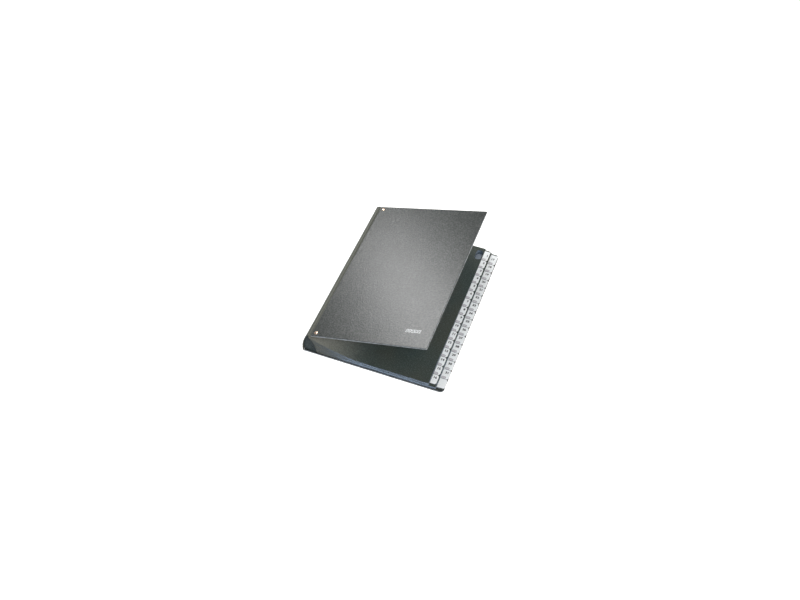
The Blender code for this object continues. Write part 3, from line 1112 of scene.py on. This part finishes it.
@dataclass
class CoverSign:
    """A small sign stamped in silver foil: a row of leaning page outlines with a tab on each.

    The tabs step down from page to page.  It is a plain picture of divider sheets and stands for
    no maker.
    """

    place: TiltedPlace
    centre_u: float = 191.0 * MM
    from_foot: float = 34.5 * MM
    pages: int = 5
    page_width: float = 3.6 * MM
    page_height: float = 6.4 * MM
    pitch: float = 5.6 * MM
    line: float = 0.5 * MM
    tab_width: float = 0.9 * MM
    tab_height: float = 1.0 * MM
    lean: float = 0.30
    foil: float = 0.03 * MM

    def build(self, body: str) -> None:
        """Presses each page's outline and its tab into place as one piece of foil.

        Every bar of an outline is a flat rectangle, and x grows by the lean times y.

        Args:
            body: the body that it moves with.
        """
        low, high = self.place.box("front_cover_board")
        base = np.array([self.centre_u, low[1] + self.from_foot, high[2] + self.foil])
        bars = []
        for page in range(self.pages):
            left = (page - (self.pages - 1) / 2) * self.pitch - self.page_width / 2
            right, top = left + self.page_width, self.page_height / 2
            bars += [
                (left, -top, left + self.line, top),
                (right - self.line, -top, right, top),
                (left + self.line, -top, right - self.line, -top + self.line),
                (left + self.line, top - self.line, right - self.line, top),
            ]
            tab_middle = top - (page + 1) * self.page_height / (self.pages + 1)
            tab_low = tab_middle - self.tab_height / 2
            bars.append((right, tab_low, right + self.tab_width, tab_low + self.tab_height))
        low_x, low_y, high_x, high_y = np.array(bars).T
        corners = np.stack(
            [
                np.column_stack([low_x, low_y]),
                np.column_stack([high_x, low_y]),
                np.column_stack([high_x, high_y]),
                np.column_stack([low_x, high_y]),
            ],
            axis=1,
        )
        corners[..., 0] += self.lean * corners[..., 1]
        flat = np.concatenate([corners, np.zeros(corners.shape[:2] + (1,))], axis=-1)
        sheet = flat.reshape(-1, 3) + base
        quads = np.arange(len(sheet)).reshape(-1, 4)
        points, faces, _ = thickened(sheet, quads, self.foil)
        sign = Piece("cover_sign", self.place.out(points), [faces], [Stock.FOIL])
        sign.build(body, "grained_board")


# ------------------------------------------------------------------ the back cover and spine
@dataclass
class BackCover:
    """The board that the file lies on, its lining, flap and sunk rivets."""

    body: str = "file_base"
    fore_radius: float = 7.5 * MM
    spine_radius: float = 0.8 * MM
    sink_radius: float = 3.7 * MM
    sink_depth: float = 1.2 * MM
    rivet_hole: float = 1.6 * MM
    rivet_lift: float = 0.1 * MM
    tail_height: float = 0.5 * MM

    def build(self) -> None:
        """Builds every piece of the back cover."""
        self.build_board()
        self.build_rivets()
        for node, stock in (("back_lining", Stock.LINING), ("back_gusset_flap", Stock.PLEAT)):
            dress_node(node, stock)

    def build_board(self) -> None:
        """The wrapped board, with a round sink cut for each rivet's head."""
        low, high = (np.array(corner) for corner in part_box("back_cover_board"))
        radii = (self.spine_radius, self.fore_radius, self.fore_radius, self.spine_radius)
        points, faces, wear = Board(low, high, radii).surface()
        board = Piece("back_board", points, faces, [Stock.COVER], wear=wear)
        piece = board.build(self.body, "grained_board", ["back_cover_board"])
        for word in ("top", "bottom"):
            centre = sum(np.array(corner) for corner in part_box("back_rivet_" + word)) / 2
            cut_round(piece, centre, self.sink_radius, low[2] - MM, low[2] + self.sink_depth)
            cut_round(piece, centre, self.rivet_hole, low[2] - MM, high[2] + MM)
        apply_modifiers(piece)

    def build_rivets(self) -> None:
        """The rivets that hold the pleats' flap, heads down in their sinks."""
        for word in ("top", "bottom"):
            node = "back_rivet_" + word
            low, high = (np.array(corner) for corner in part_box(node))
            centre = (low + high) / 2 * (1, 1, 0)
            rim = self.sink_depth - self.rivet_lift
            profile = Rivet().profile(high[2], low[2], rim, high[2] - self.tail_height)
            points, quads = RoundPart(profile).surface(centre)
            rivet = Piece(
                "base_rivet_" + word, points, [quads], [Stock.BRASS], close_poles=True
            )
            rivet.build(self.body, "rivet_brass", [node])


def cut_round(
    piece: bpy.types.Object, centre: np.ndarray, radius: float, low: float, high: float
) -> None:
    """Adds a Boolean that cuts an upright round hole from a piece.

    Args:
        piece: what is cut.
        centre: a point on the hole's axis.
        radius: the hole's radius.
        low: the cutter's lowest height.
        high: the cutter's highest height.
    """
    work = bmesh.new()
    bmesh.ops.create_cone(
        work, cap_ends=True, segments=40, radius1=radius, radius2=radius, depth=high - low
    )
    middle = Vector((float(centre[0]), float(centre[1]), (low + high) / 2))
    bmesh.ops.translate(work, vec=middle, verts=work.verts)
    mesh = bpy.data.meshes.new("cutter")
    work.to_mesh(mesh)
    work.free()
    cutter = bpy.data.objects.new("cutter", mesh)
    bpy.context.scene.collection.objects.link(cutter)
    cut = piece.modifiers.new("cut", "BOOLEAN")
    cut.object, cut.solver = cutter, "EXACT"


def apply_modifiers(piece: bpy.types.Object) -> None:
    """Keeps what a piece's modifiers make as its mesh, and removes them and their cutters.

    Args:
        piece: the object whose modifiers are applied.
    """
    cutters = [modifier.object for modifier in piece.modifiers if modifier.type == "BOOLEAN"]
    seen = piece.evaluated_get(bpy.context.evaluated_depsgraph_get())
    mesh = bpy.data.meshes.new_from_object(seen)
    mesh.name = piece.name
    piece.modifiers.clear()
    piece.data = mesh
    mesh.set_sharp_from_angle(angle=math.radians(Piece.sharp_above))
    for cutter in cutters:
        bpy.data.objects.remove(cutter, do_unlink=True)


@dataclass
class Spine:
    """The rounded outer spine and the pleats behind it."""

    body: str = "file_base"
    thickness: float = 0.8 * MM
    hem: float = 7.0 * MM
    hem_rise: float = 0.22 * MM
    crease_depth: float = 0.28 * MM
    crease_width: float = 0.7 * MM
    creases: tuple[float, ...] = (0.30, 0.52, 0.74)  # shares of the spine's height
    ripple: float = 0.06 * MM

    def build(self) -> None:
        """Builds the cloth spine, and dresses the pleats."""
        self.build_cloth()
        dress_node("accordion_gusset", Stock.PLEAT)

    def build_cloth(self) -> None:
        """The spine's face is x = a z squared + b z + c, as the frame's own wall is.

        Each crease sinks it by d exp(-(z - z0)^2 / v^2).  Over the hems, where the cloth is folded
        in at head and foot, it stands proud by a smooth step.  A ripple r sin(y / l + 3 z / h) runs
        over all of it.
        """
        wall = node_points("spine_cloth")
        levels = np.unique(np.round(wall[:, 2], 6))
        faces = [wall[np.abs(wall[:, 2] - level) < 1e-5, 0].min() for level in levels]
        curve = np.polyfit(levels, faces, 2)
        half = wall[:, 1].max()
        low, high = levels.min(), levels.max()
        z = np.linspace(low, high, 60)[:, None]
        ends = np.linspace(0, self.hem * 1.5, 10)
        y = np.concatenate([ends - half, np.linspace(-half, half, 31)[2:-2], half - ends[::-1]])
        face = np.polyval(curve, z)
        for share in self.creases:
            middle = low + share * (high - low)
            face = face + self.crease_depth * np.exp(-(((z - middle) / self.crease_width) ** 2))
        proud = self.hem_rise * (1 - smooth_step((half - np.abs(y)) / self.hem - 0.5))
        ripple = self.ripple * np.sin(y / (31 * MM) + 3.0 * z / high)
        x = face - proud - ripple + self.thickness / 2
        sheet = np.stack([x, y + 0 * z, z + 0 * y], axis=-1).reshape(-1, 3)
        cloth = np.stack([z + 0 * y, y + 0 * z], axis=-1).reshape(-1, 2)
        quads = grid_quads(len(z), len(y))
        points, faces, _ = thickened(sheet, quads, self.thickness)
        piece = Piece(
            "spine_cover",
            points,
            [faces],
            [Stock.CLOTH],
            cloth=np.concatenate([cloth, cloth]),
        ).build(self.body, "spine_cloth", ["spine_cloth"])


def dress_node(node: str, stock: Stock) -> None:
    """Gives one of the frame's own nodes a finish, through its material slots.

    Args:
        node: the node's name.
        stock: the finish.
    """
    mesh = frame["nodes"][node].data
    if not mesh.materials:
        mesh.materials.append(None)
    for index in range(len(mesh.materials)):
        mesh.materials[index] = stock.material()
    LOG.info("%s: dressed as %s", node, stock.value.name)


# ------------------------------------------------------------------ the leaves
@dataclass
class Leaf:
    """One dividing leaf: its edges, bend, tab and sight hole, where the frame's node has them."""

    number: int
    root: np.ndarray
    flat_height: float
    bend_end: float
    edge_x: float
    tab_x: float
    half: float
    tab_foot: float
    tab_head: float
    hole_low: np.ndarray
    hole_high: np.ndarray

    @classmethod
    def from_frame(cls, number: int) -> "Leaf":
        """Reads a leaf's sizes from its node.

        Args:
            number: 1 for the top leaf.

        Returns:
            The leaf.
        """
        x, y, z = node_points(f"leaf_{number:02d}").T
        half, hair = y.max(), 0.1 * MM
        on_foot = y < -half + hair / 10
        edge_x, root_x = x[on_foot].max(), x.min()
        flat = z[x > edge_x - hair]
        on_tab = x > edge_x + MM
        on_hole = (x < edge_x - hair) & (np.abs(y) < half - hair) & (x > 0)
        stations = np.unique(np.round(x[on_foot], 5))
        return cls(
            number=number,
            root=np.array([root_x, z[x < root_x + 3 * hair].mean()]),
            flat_height=(flat.min() + flat.max()) / 2,
            bend_end=stations[stations < edge_x - 5 * MM].max(),
            edge_x=edge_x,
            tab_x=x.max(),
            half=half,
            tab_foot=y[on_tab].min(),
            tab_head=y[on_tab].max(),
            hole_low=np.array([x[on_hole].min(), y[on_hole].min()]),
            hole_high=np.array([x[on_hole].max(), y[on_hole].max()]),
        )

    @property
    def body(self) -> str:
        """The body that this leaf is."""
        return f"leaf_{self.number:02d}_body"

    def height(self, x: np.ndarray, power: float) -> np.ndarray:
        """The leaf's height: flat beyond the bend, and rising to its root as (1 - t) to a power.

        Args:
            x: where along the leaf.
            power: how sharply it rises.

        Returns:
            Heights, in metres.
        """
        left = np.clip((self.bend_end - x) / (self.bend_end - self.root[0]), 0, 1)
        return self.flat_height + (self.root[1] - self.flat_height) * left**power


@dataclass
class LeafStack:
    """The thirty-two dividing leaves, each a bent sheet of card with its tab and sight hole."""

    count: int = 32
    thickness: float = 0.26 * MM
    bend_power: float = 1.7
    bend_lines: int = 30
    tab_radius: float = 4.2 * MM
    hole_margin: float = 4.0 * MM
    seed: int = 7
    stagger: float = 0.35 * MM
    waviness: float = 0.16 * MM
    wave_length: float = 45 * MM
    looseness: float = 0.02 * MM  # how unevenly the flat parts lie on one another
    bend_light_reach: float = 1.25  # the painted light's end on the bend, as a share of the bend's length

    def build(self) -> None:
        """Builds each leaf's sheet, from the top one down, and then its printed label."""
        rng = np.random.default_rng(self.seed)
        printer = LabelPrinter(self.tab_radius, self.thickness)
        for number in range(1, self.count + 1):
            leaf = Leaf.from_frame(number)
            self.build_sheet(leaf, rng.uniform(-1, 1, 6))
            printer.build(leaf, self.count)

    def lines(self, leaf: Leaf, luck: np.ndarray) -> tuple[np.ndarray, np.ndarray]:
        """The grid lines that a leaf is drawn on, closer together round its bend, hole and tab.

        Args:
            leaf: the leaf.
            luck: six numbers from -1 to 1 that make this leaf a little unlike its neighbours.

        Returns:
            Places along X and places along Y.
        """
        share = np.linspace(0, 1, self.bend_lines) ** 1.15
        bend = leaf.root[0] + (leaf.bend_end - leaf.root[0]) * share
        hole_x = np.linspace(leaf.hole_low[0], leaf.hole_high[0], 9)
        margin = [leaf.hole_low[0] - self.hole_margin, leaf.edge_x]
        tab = np.linspace(leaf.tab_x - self.tab_radius, leaf.tab_x, 5)
        middle = np.linspace(leaf.bend_end, leaf.hole_low[0] - self.hole_margin, 7)[1:-1]
        radius = (leaf.hole_high[0] - leaf.hole_low[0]) / 2
        hole_y = np.concatenate(
            [
                np.linspace(leaf.hole_low[1], leaf.hole_low[1] + radius, 5),
                np.linspace(leaf.hole_high[1] - radius, leaf.hole_high[1], 5),
            ]
        )
        rounds = np.concatenate(
            [
                np.linspace(leaf.tab_foot, leaf.tab_foot + self.tab_radius, 5),
                np.linspace(leaf.tab_head - self.tab_radius, leaf.tab_head, 5),
            ]
        )
        ends = [-leaf.half + self.stagger * luck[0], leaf.half + self.stagger * luck[1]]
        spread = np.linspace(-leaf.half, leaf.half, 15)[1:-1]
        along_x = np.unique(np.round(np.concatenate([bend, middle, margin, hole_x, tab]), 7))
        along_y = np.unique(np.round(np.concatenate([ends, spread, hole_y, rounds]), 7))
        return along_x, along_y

    def build_sheet(self, leaf: Leaf, luck: np.ndarray) -> None:
        """Draws one leaf on its grid, leaves out the hole and all beyond the tab, and rounds both.

        Its height adds to the bend a slow ripple along Y, a sin(y / l + p), that fades where the
        leaves lie flat on one another.

        Args:
            leaf: the leaf.
            luck: six numbers from -1 to 1 that make this leaf a little unlike its neighbours.
        """
        along_x, along_y = self.lines(leaf, luck)
        x, y = np.meshgrid(along_x, along_y, indexing="ij")
        mid_x, mid_y = ((v[:-1, :-1] + v[1:, 1:]) / 2 for v in (x, y))
        in_hole = (mid_x > leaf.hole_low[0]) & (mid_x < leaf.hole_high[0])
        in_hole &= (mid_y > leaf.hole_low[1]) & (mid_y < leaf.hole_high[1])
        off_tab = (mid_x > leaf.edge_x) & ((mid_y < leaf.tab_foot) | (mid_y > leaf.tab_head))
        plane = np.stack([x, y], axis=-1)
        radius = (leaf.hole_high[0] - leaf.hole_low[0]) / 2
        middle = (leaf.hole_low + leaf.hole_high) / 2
        reach = (leaf.hole_high[1] - leaf.hole_low[1]) / 2 - radius
        for side in (-1, 1):
            centre = middle + (0.0, side * reach)
            plane = squashed_to_round(plane, centre, radius, (y - centre[1]) * side > 0)
        for end, side in ((leaf.tab_foot, 1), (leaf.tab_head, -1)):
            centre = np.array([leaf.tab_x - self.tab_radius, end + side * self.tab_radius])
            keep = (x > centre[0]) & ((y - centre[1]) * side < 0)
            plane = squashed_to_round(plane, centre, self.tab_radius, keep)
        lifted = np.clip((leaf.bend_end - x) / (leaf.bend_end - leaf.root[0]), 0, 1)
        wave = np.sin(y / (self.wave_length * (1 + luck[2] / 3)) + 3 * luck[3])
        height = leaf.height(x, self.bend_power) + self.waviness * wave * luck[4] * lifted**1.2
        height = height + self.looseness * luck[5] * (1 - lifted)
        points = np.concatenate([plane, height[..., None]], axis=-1).reshape(-1, 3)
        quads = grid_quads(len(along_x), len(along_y))[~(in_hole | off_tab).ravel()]
        solid, faces, is_wall = thickened(points, quads, self.thickness)
        # a mask of 1 at the root that fades along the bend: painted light on the card's face, painted shade
        # on its cut edges
        reach = (solid[:, 0] - leaf.root[0]) / (leaf.bend_end - leaf.root[0])
        piece = Piece(
            f"leaf_sheet_{leaf.number:02d}",
            solid,
            [faces],
            [Stock.CARD, Stock.CARD_EDGE],
            slots=is_wall,
            wear=1 - smooth_step(reach / self.bend_light_reach),
        )
        piece.build(leaf.body, "leaf_card", [f"leaf_{leaf.number:02d}"])


@dataclass
class LabelPrinter:
    """Folds a white label round each tab, prints its number on it, and paints a shadow at its foot as a
    rounded grey frame.
    """

    tab_radius: float
    card: float
    paper: float = 0.05 * MM
    glue: float = 0.01 * MM
    end_margin: float = 0.25 * MM
    head_margin: float = 2.6 * MM
    inner_gap: float = 0.5 * MM
    fold_steps: int = 7
    digit_height: float = 4.8 * MM
    digit_stretch: float = 1.10
    digit_weight: float = 0.045
    number_right: float = 3.1 * MM
    number_from_foot: float = 13.9 * MM
    # where the painted shadow at a tab's foot sits, and the rounded frame that it is drawn as
    frame_aside: float = -2.0 * MM
    frame_from_foot: float = 2.8 * MM
    print_and_shadow_film: float = 0.012 * MM
    frame_size: tuple[float, float] = (8.0 * MM, 4.6 * MM)
    frame_roundness: float = 0.40  # corner radius, as a share of the frame's height
    frame_line: float = 0.6 * MM

    def build(self, leaf: Leaf, count: int) -> None:
        """Builds the label, its number and, but on each column's lowest, a painted shadow at its foot,
        drawn as a rounded grey frame.

        Args:
            leaf: the leaf that it goes on.
            count: how many leaves there are.
        """
        start = leaf.edge_x + self.inner_gap
        self.build_paper(leaf, start, leaf.number in (1, count // 2 + 1))
        top = leaf.flat_height + self.card / 2 + self.glue + self.paper + self.print_and_shadow_film
        origin = np.array([(start + leaf.tab_x) / 2, leaf.tab_foot, top])
        if leaf.number % (count // 2):
            self.build_step_shadow(leaf, origin + (self.frame_aside, self.frame_from_foot, 0.0))
        if leaf.number < count:
            self.build_number(leaf, origin + (self.number_right, self.number_from_foot, 0.0))

    def build_paper(self, leaf: Leaf, start: float, is_highest: bool) -> None:
        """A sheet carried round the tab's edge: out along the back, round the fold, in on the front.

        The tab's fore edge is at x = X - r + sqrt(r^2 - (r - d)^2) within r of either end, with d
        the distance to that end.

        Args:
            leaf: the leaf that it goes on.
            start: the label's inner edge.
            is_highest: whether its tab is its column's first, which leaves more card bare.
        """
        offset = self.card / 2 + self.glue + self.paper / 2
        head_margin = self.head_margin if is_highest else self.end_margin
        rounds = np.linspace(0, self.tab_radius - self.end_margin, 7)
        low, high = leaf.tab_foot + self.end_margin, leaf.tab_head - head_margin
        y = np.concatenate([low + rounds, [(low + high) / 2], high - rounds[::-1]])
        gap = np.minimum(y - leaf.tab_foot, leaf.tab_head - y)
        inside = np.clip(self.tab_radius - gap, 0, self.tab_radius)
        edge = leaf.tab_x - self.tab_radius + np.sqrt(self.tab_radius**2 - inside**2)
        turn = np.linspace(-np.pi / 2, np.pi / 2, self.fold_steps)[:, None]
        fold_x = edge + offset * np.cos(turn)
        fold_z = leaf.flat_height + offset * np.sin(turn)
        flat_x = np.linspace(start, edge, 4)[:-1]
        low_z, high_z = (np.full_like(flat_x, leaf.flat_height + s * offset) for s in (-1, 1))
        x = np.concatenate([flat_x, fold_x, flat_x[::-1]])
        z = np.concatenate([low_z, fold_z + 0 * edge, high_z])
        sheet = np.stack([x, y + 0 * x, z], axis=-1).reshape(-1, 3)
        quads = grid_quads(len(x), len(y))[:, ::-1]
        points, faces, _ = thickened(sheet, quads, self.paper)
        label = Piece(f"tab_label_{leaf.number:02d}", points, [faces], [Stock.LABEL])
        label.build(leaf.body, "leaf_card")

    def build_step_shadow(self, leaf: Leaf, centre: np.ndarray) -> None:
        """Paints the shadow at a tab's foot as a rounded grey frame with a pale grey fill, as rings that
        close on its centre.

        Args:
            leaf: the leaf that it goes on.
            centre: the frame's centre, on the label's face.
        """
        size = np.array([*self.frame_size, 0.0]) / 2
        radii = (self.frame_size[1] * self.frame_roundness,) * 4
        shape = Board(centre - size, centre + size, radii, corner_steps=6)
        outer, inner = shape.outline(0.0), shape.outline(self.frame_line)
        plan = np.stack([outer, inner, np.broadcast_to(centre[:2], outer.shape)])
        points = np.concatenate([plan, np.full(plan.shape[:2] + (1,), centre[2])], axis=-1)
        quads = grid_quads(3, plan.shape[1], closed=True)[:, ::-1]
        is_shadow_fill = np.arange(len(quads)) >= plan.shape[1]
        solid, faces, is_wall = thickened(points.reshape(-1, 3), quads, self.print_and_shadow_film)
        slots = np.concatenate([is_shadow_fill, is_shadow_fill, np.zeros(is_wall.sum(), bool)])
        ring = Piece(
            f"label_step_shadow_{leaf.number:02d}",
            solid,
            [faces],
            [Stock.STEP_SHADOW_LINE, Stock.STEP_SHADOW_FILL],
            slots=slots,
            close_poles=True,
        )
        ring.build(leaf.body, "leaf_card")

    def build_number(self, leaf: Leaf, right: np.ndarray) -> None:
        """Prints the leaf's number, as a mesh made from plain lettering.

        Args:
            leaf: the leaf that it goes on.
            right: the middle of the number's right side, on the label's face.
        """
        letters = bpy.data.curves.new("number", "FONT")
        letters.body = str(leaf.number)
        letters.size = 1.0
        letters.offset = self.digit_weight
        letters.extrude = 0.01
        letters.resolution_u = 4
        letters.align_x, letters.align_y = "CENTER", "CENTER"
        holder = bpy.data.objects.new("number", letters)
        bpy.context.scene.collection.objects.link(holder)
        seen = holder.evaluated_get(bpy.context.evaluated_depsgraph_get())
        mesh = bpy.data.meshes.new_from_object(seen)
        bpy.data.objects.remove(holder)
        mesh.name = f"tab_number_{leaf.number:02d}"
        points = np.array([v.co for v in mesh.vertices])
        low, high = points.min(axis=0), points.max(axis=0)
        scale = self.digit_height / (high[1] - low[1])
        size = Matrix.Diagonal((scale * self.digit_stretch, scale, self.print_and_shadow_film / (high[2] - low[2]), 1))
        anchor = np.array([high[0], (low[1] + high[1]) / 2, (low[2] + high[2]) / 2])
        anchored = Matrix.Translation(Vector((-anchor).tolist()))
        mesh.transform(Matrix.Translation(Vector(right.tolist())) @ size @ anchored)
        mesh.materials.clear()
        mesh.materials.append(Stock.INK.material())
        number = bpy.data.objects.new(mesh.name, mesh)
        bpy.context.scene.collection.objects.link(number)
        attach(number, leaf.body)
        LOG.info("%s: %d faces on %s", mesh.name, len(mesh.polygons), leaf.body)


# ------------------------------------------------------------------ the studio
@dataclass
class SoftBox:
    """One rectangular studio light that faces a point on the file."""

    name: str
    place: tuple[float, float, float]
    size: tuple[float, float]
    power: float
    target: tuple[float, float, float] = (0.0, 0.0, 0.0)
    roll: float = 0.0
    colour: str = "#FFFFFF"

    def build(self) -> None:
        """Adds the light, turned to its target and rolled about its own axis."""
        light = bpy.data.lights.new(self.name, "AREA")
        light.shape = "RECTANGLE"
        light.size, light.size_y = self.size
        light.energy = self.power
        light.color = linear(self.colour)[:3]
        lamp = bpy.data.objects.new(self.name, light)
        lamp.location = self.place
        aim = Vector(self.target) - Vector(self.place)
        turn = aim.to_track_quat("-Z", "Y").to_matrix().to_4x4()
        lamp.rotation_euler = (turn @ Matrix.Rotation(math.radians(self.roll), 4, "Z")).to_euler()
        bpy.context.scene.collection.objects.link(lamp)


@dataclass
class Studio:
    """A pale glowing floor, soft light and the camera."""

    azimuth: float = 19.76
    elevation: float = 50.07
    roll: float = 0.8
    distance: float = 1.6811
    lens: float = 40.77
    look_at: tuple[float, float, float] = (0.0001, 0.0, 0.0)
    aside: float = 0.01088
    below: float = -0.00305
    floor_size: float = 12.0
    sky: str = "#FFFFFF"
    sky_strength: float = 0.40
    lights: tuple[SoftBox, ...] = (
        SoftBox("sheen_over_spine", (-0.567, 0.545, 0.888), (0.20, 0.85), 7.6, (-0.02, 0.0, 0.08), -4.0),
        SoftBox("side_by_tabs", (1.5, -0.55, 0.60), (1.1, 0.6), 18.0, (0.05, -0.05, 0.0), colour="#FFF8F0"),
        SoftBox("low_front", (-0.25, -1.8, 0.45), (1.5, 0.6), 13.0, colour="#D6E6FF"),
        SoftBox("above_camera", (0.9, -1.2, 2.2), (1.2, 1.2), 22.0),
    )

    def build(self) -> None:
        """Builds the floor, the lights and the camera."""
        self.build_floor()
        for light in self.lights:
            light.build()
        self.build_sky()
        self.build_camera()

    def build_floor(self) -> None:
        """The wide white light table that the file lies on."""
        reach = self.floor_size / 2
        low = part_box("back_cover_board")[0].z
        plan = [(-reach, -reach), (reach, -reach), (reach, reach), (-reach, reach)]
        mesh = bpy.data.meshes.new("studio_floor")
        mesh.from_pydata([(x, y, low) for x, y in plan], [], [(0, 1, 2, 3)])
        mesh.materials.append(Stock.FLOOR.material())
        floor = bpy.data.objects.new("studio_floor", mesh)
        bpy.context.scene.collection.objects.link(floor)

    def build_sky(self) -> None:
        """An even pale surround."""
        world = bpy.data.worlds.new("studio_surround")
        world.use_nodes = True
        background = world.node_tree.nodes["Background"]
        background.inputs["Color"].default_value = linear(self.sky)
        background.inputs["Strength"].default_value = self.sky_strength
        bpy.context.scene.world = world

    def build_camera(self) -> None:
        """Places the camera: its back axis is (sin a cos e, -cos a cos e, sin e)."""
        a, e, r = (math.radians(v) for v in (self.azimuth, self.elevation, self.roll))
        back = Vector((math.sin(a) * math.cos(e), -math.cos(a) * math.cos(e), math.sin(e)))
        level = Vector((math.cos(a), math.sin(a), 0.0))
        upright = back.cross(level)
        right = level * math.cos(r) + upright * math.sin(r)
        up = upright * math.cos(r) - level * math.sin(r)
        eye = Vector(self.look_at) - self.aside * right - self.below * up + self.distance * back
        data = bpy.data.cameras.new("studio_camera")
        data.lens = self.lens
        data.clip_start, data.clip_end = 0.05, 50.0
        camera = bpy.data.objects.new("studio_camera", data)
        camera.matrix_world = Matrix.Translation(eye) @ Matrix((right, up, back)).transposed().to_4x4()
        bpy.context.scene.collection.objects.link(camera)
        bpy.context.scene.camera = camera


def main() -> None:
    """Builds the file's pieces in order, then the studio."""
    logging.basicConfig(level=logging.INFO, format="%(message)s")
    for thing in (BackCover(), Spine(), LeafStack(), FrontCover(TiltedPlace.from_frame()), Studio()):
        thing.build()
        LOG.info("built %s", type(thing).__name__)
    bpy.context.scene.view_settings.view_transform = "Standard"


if __name__ == "__main__":
    main()
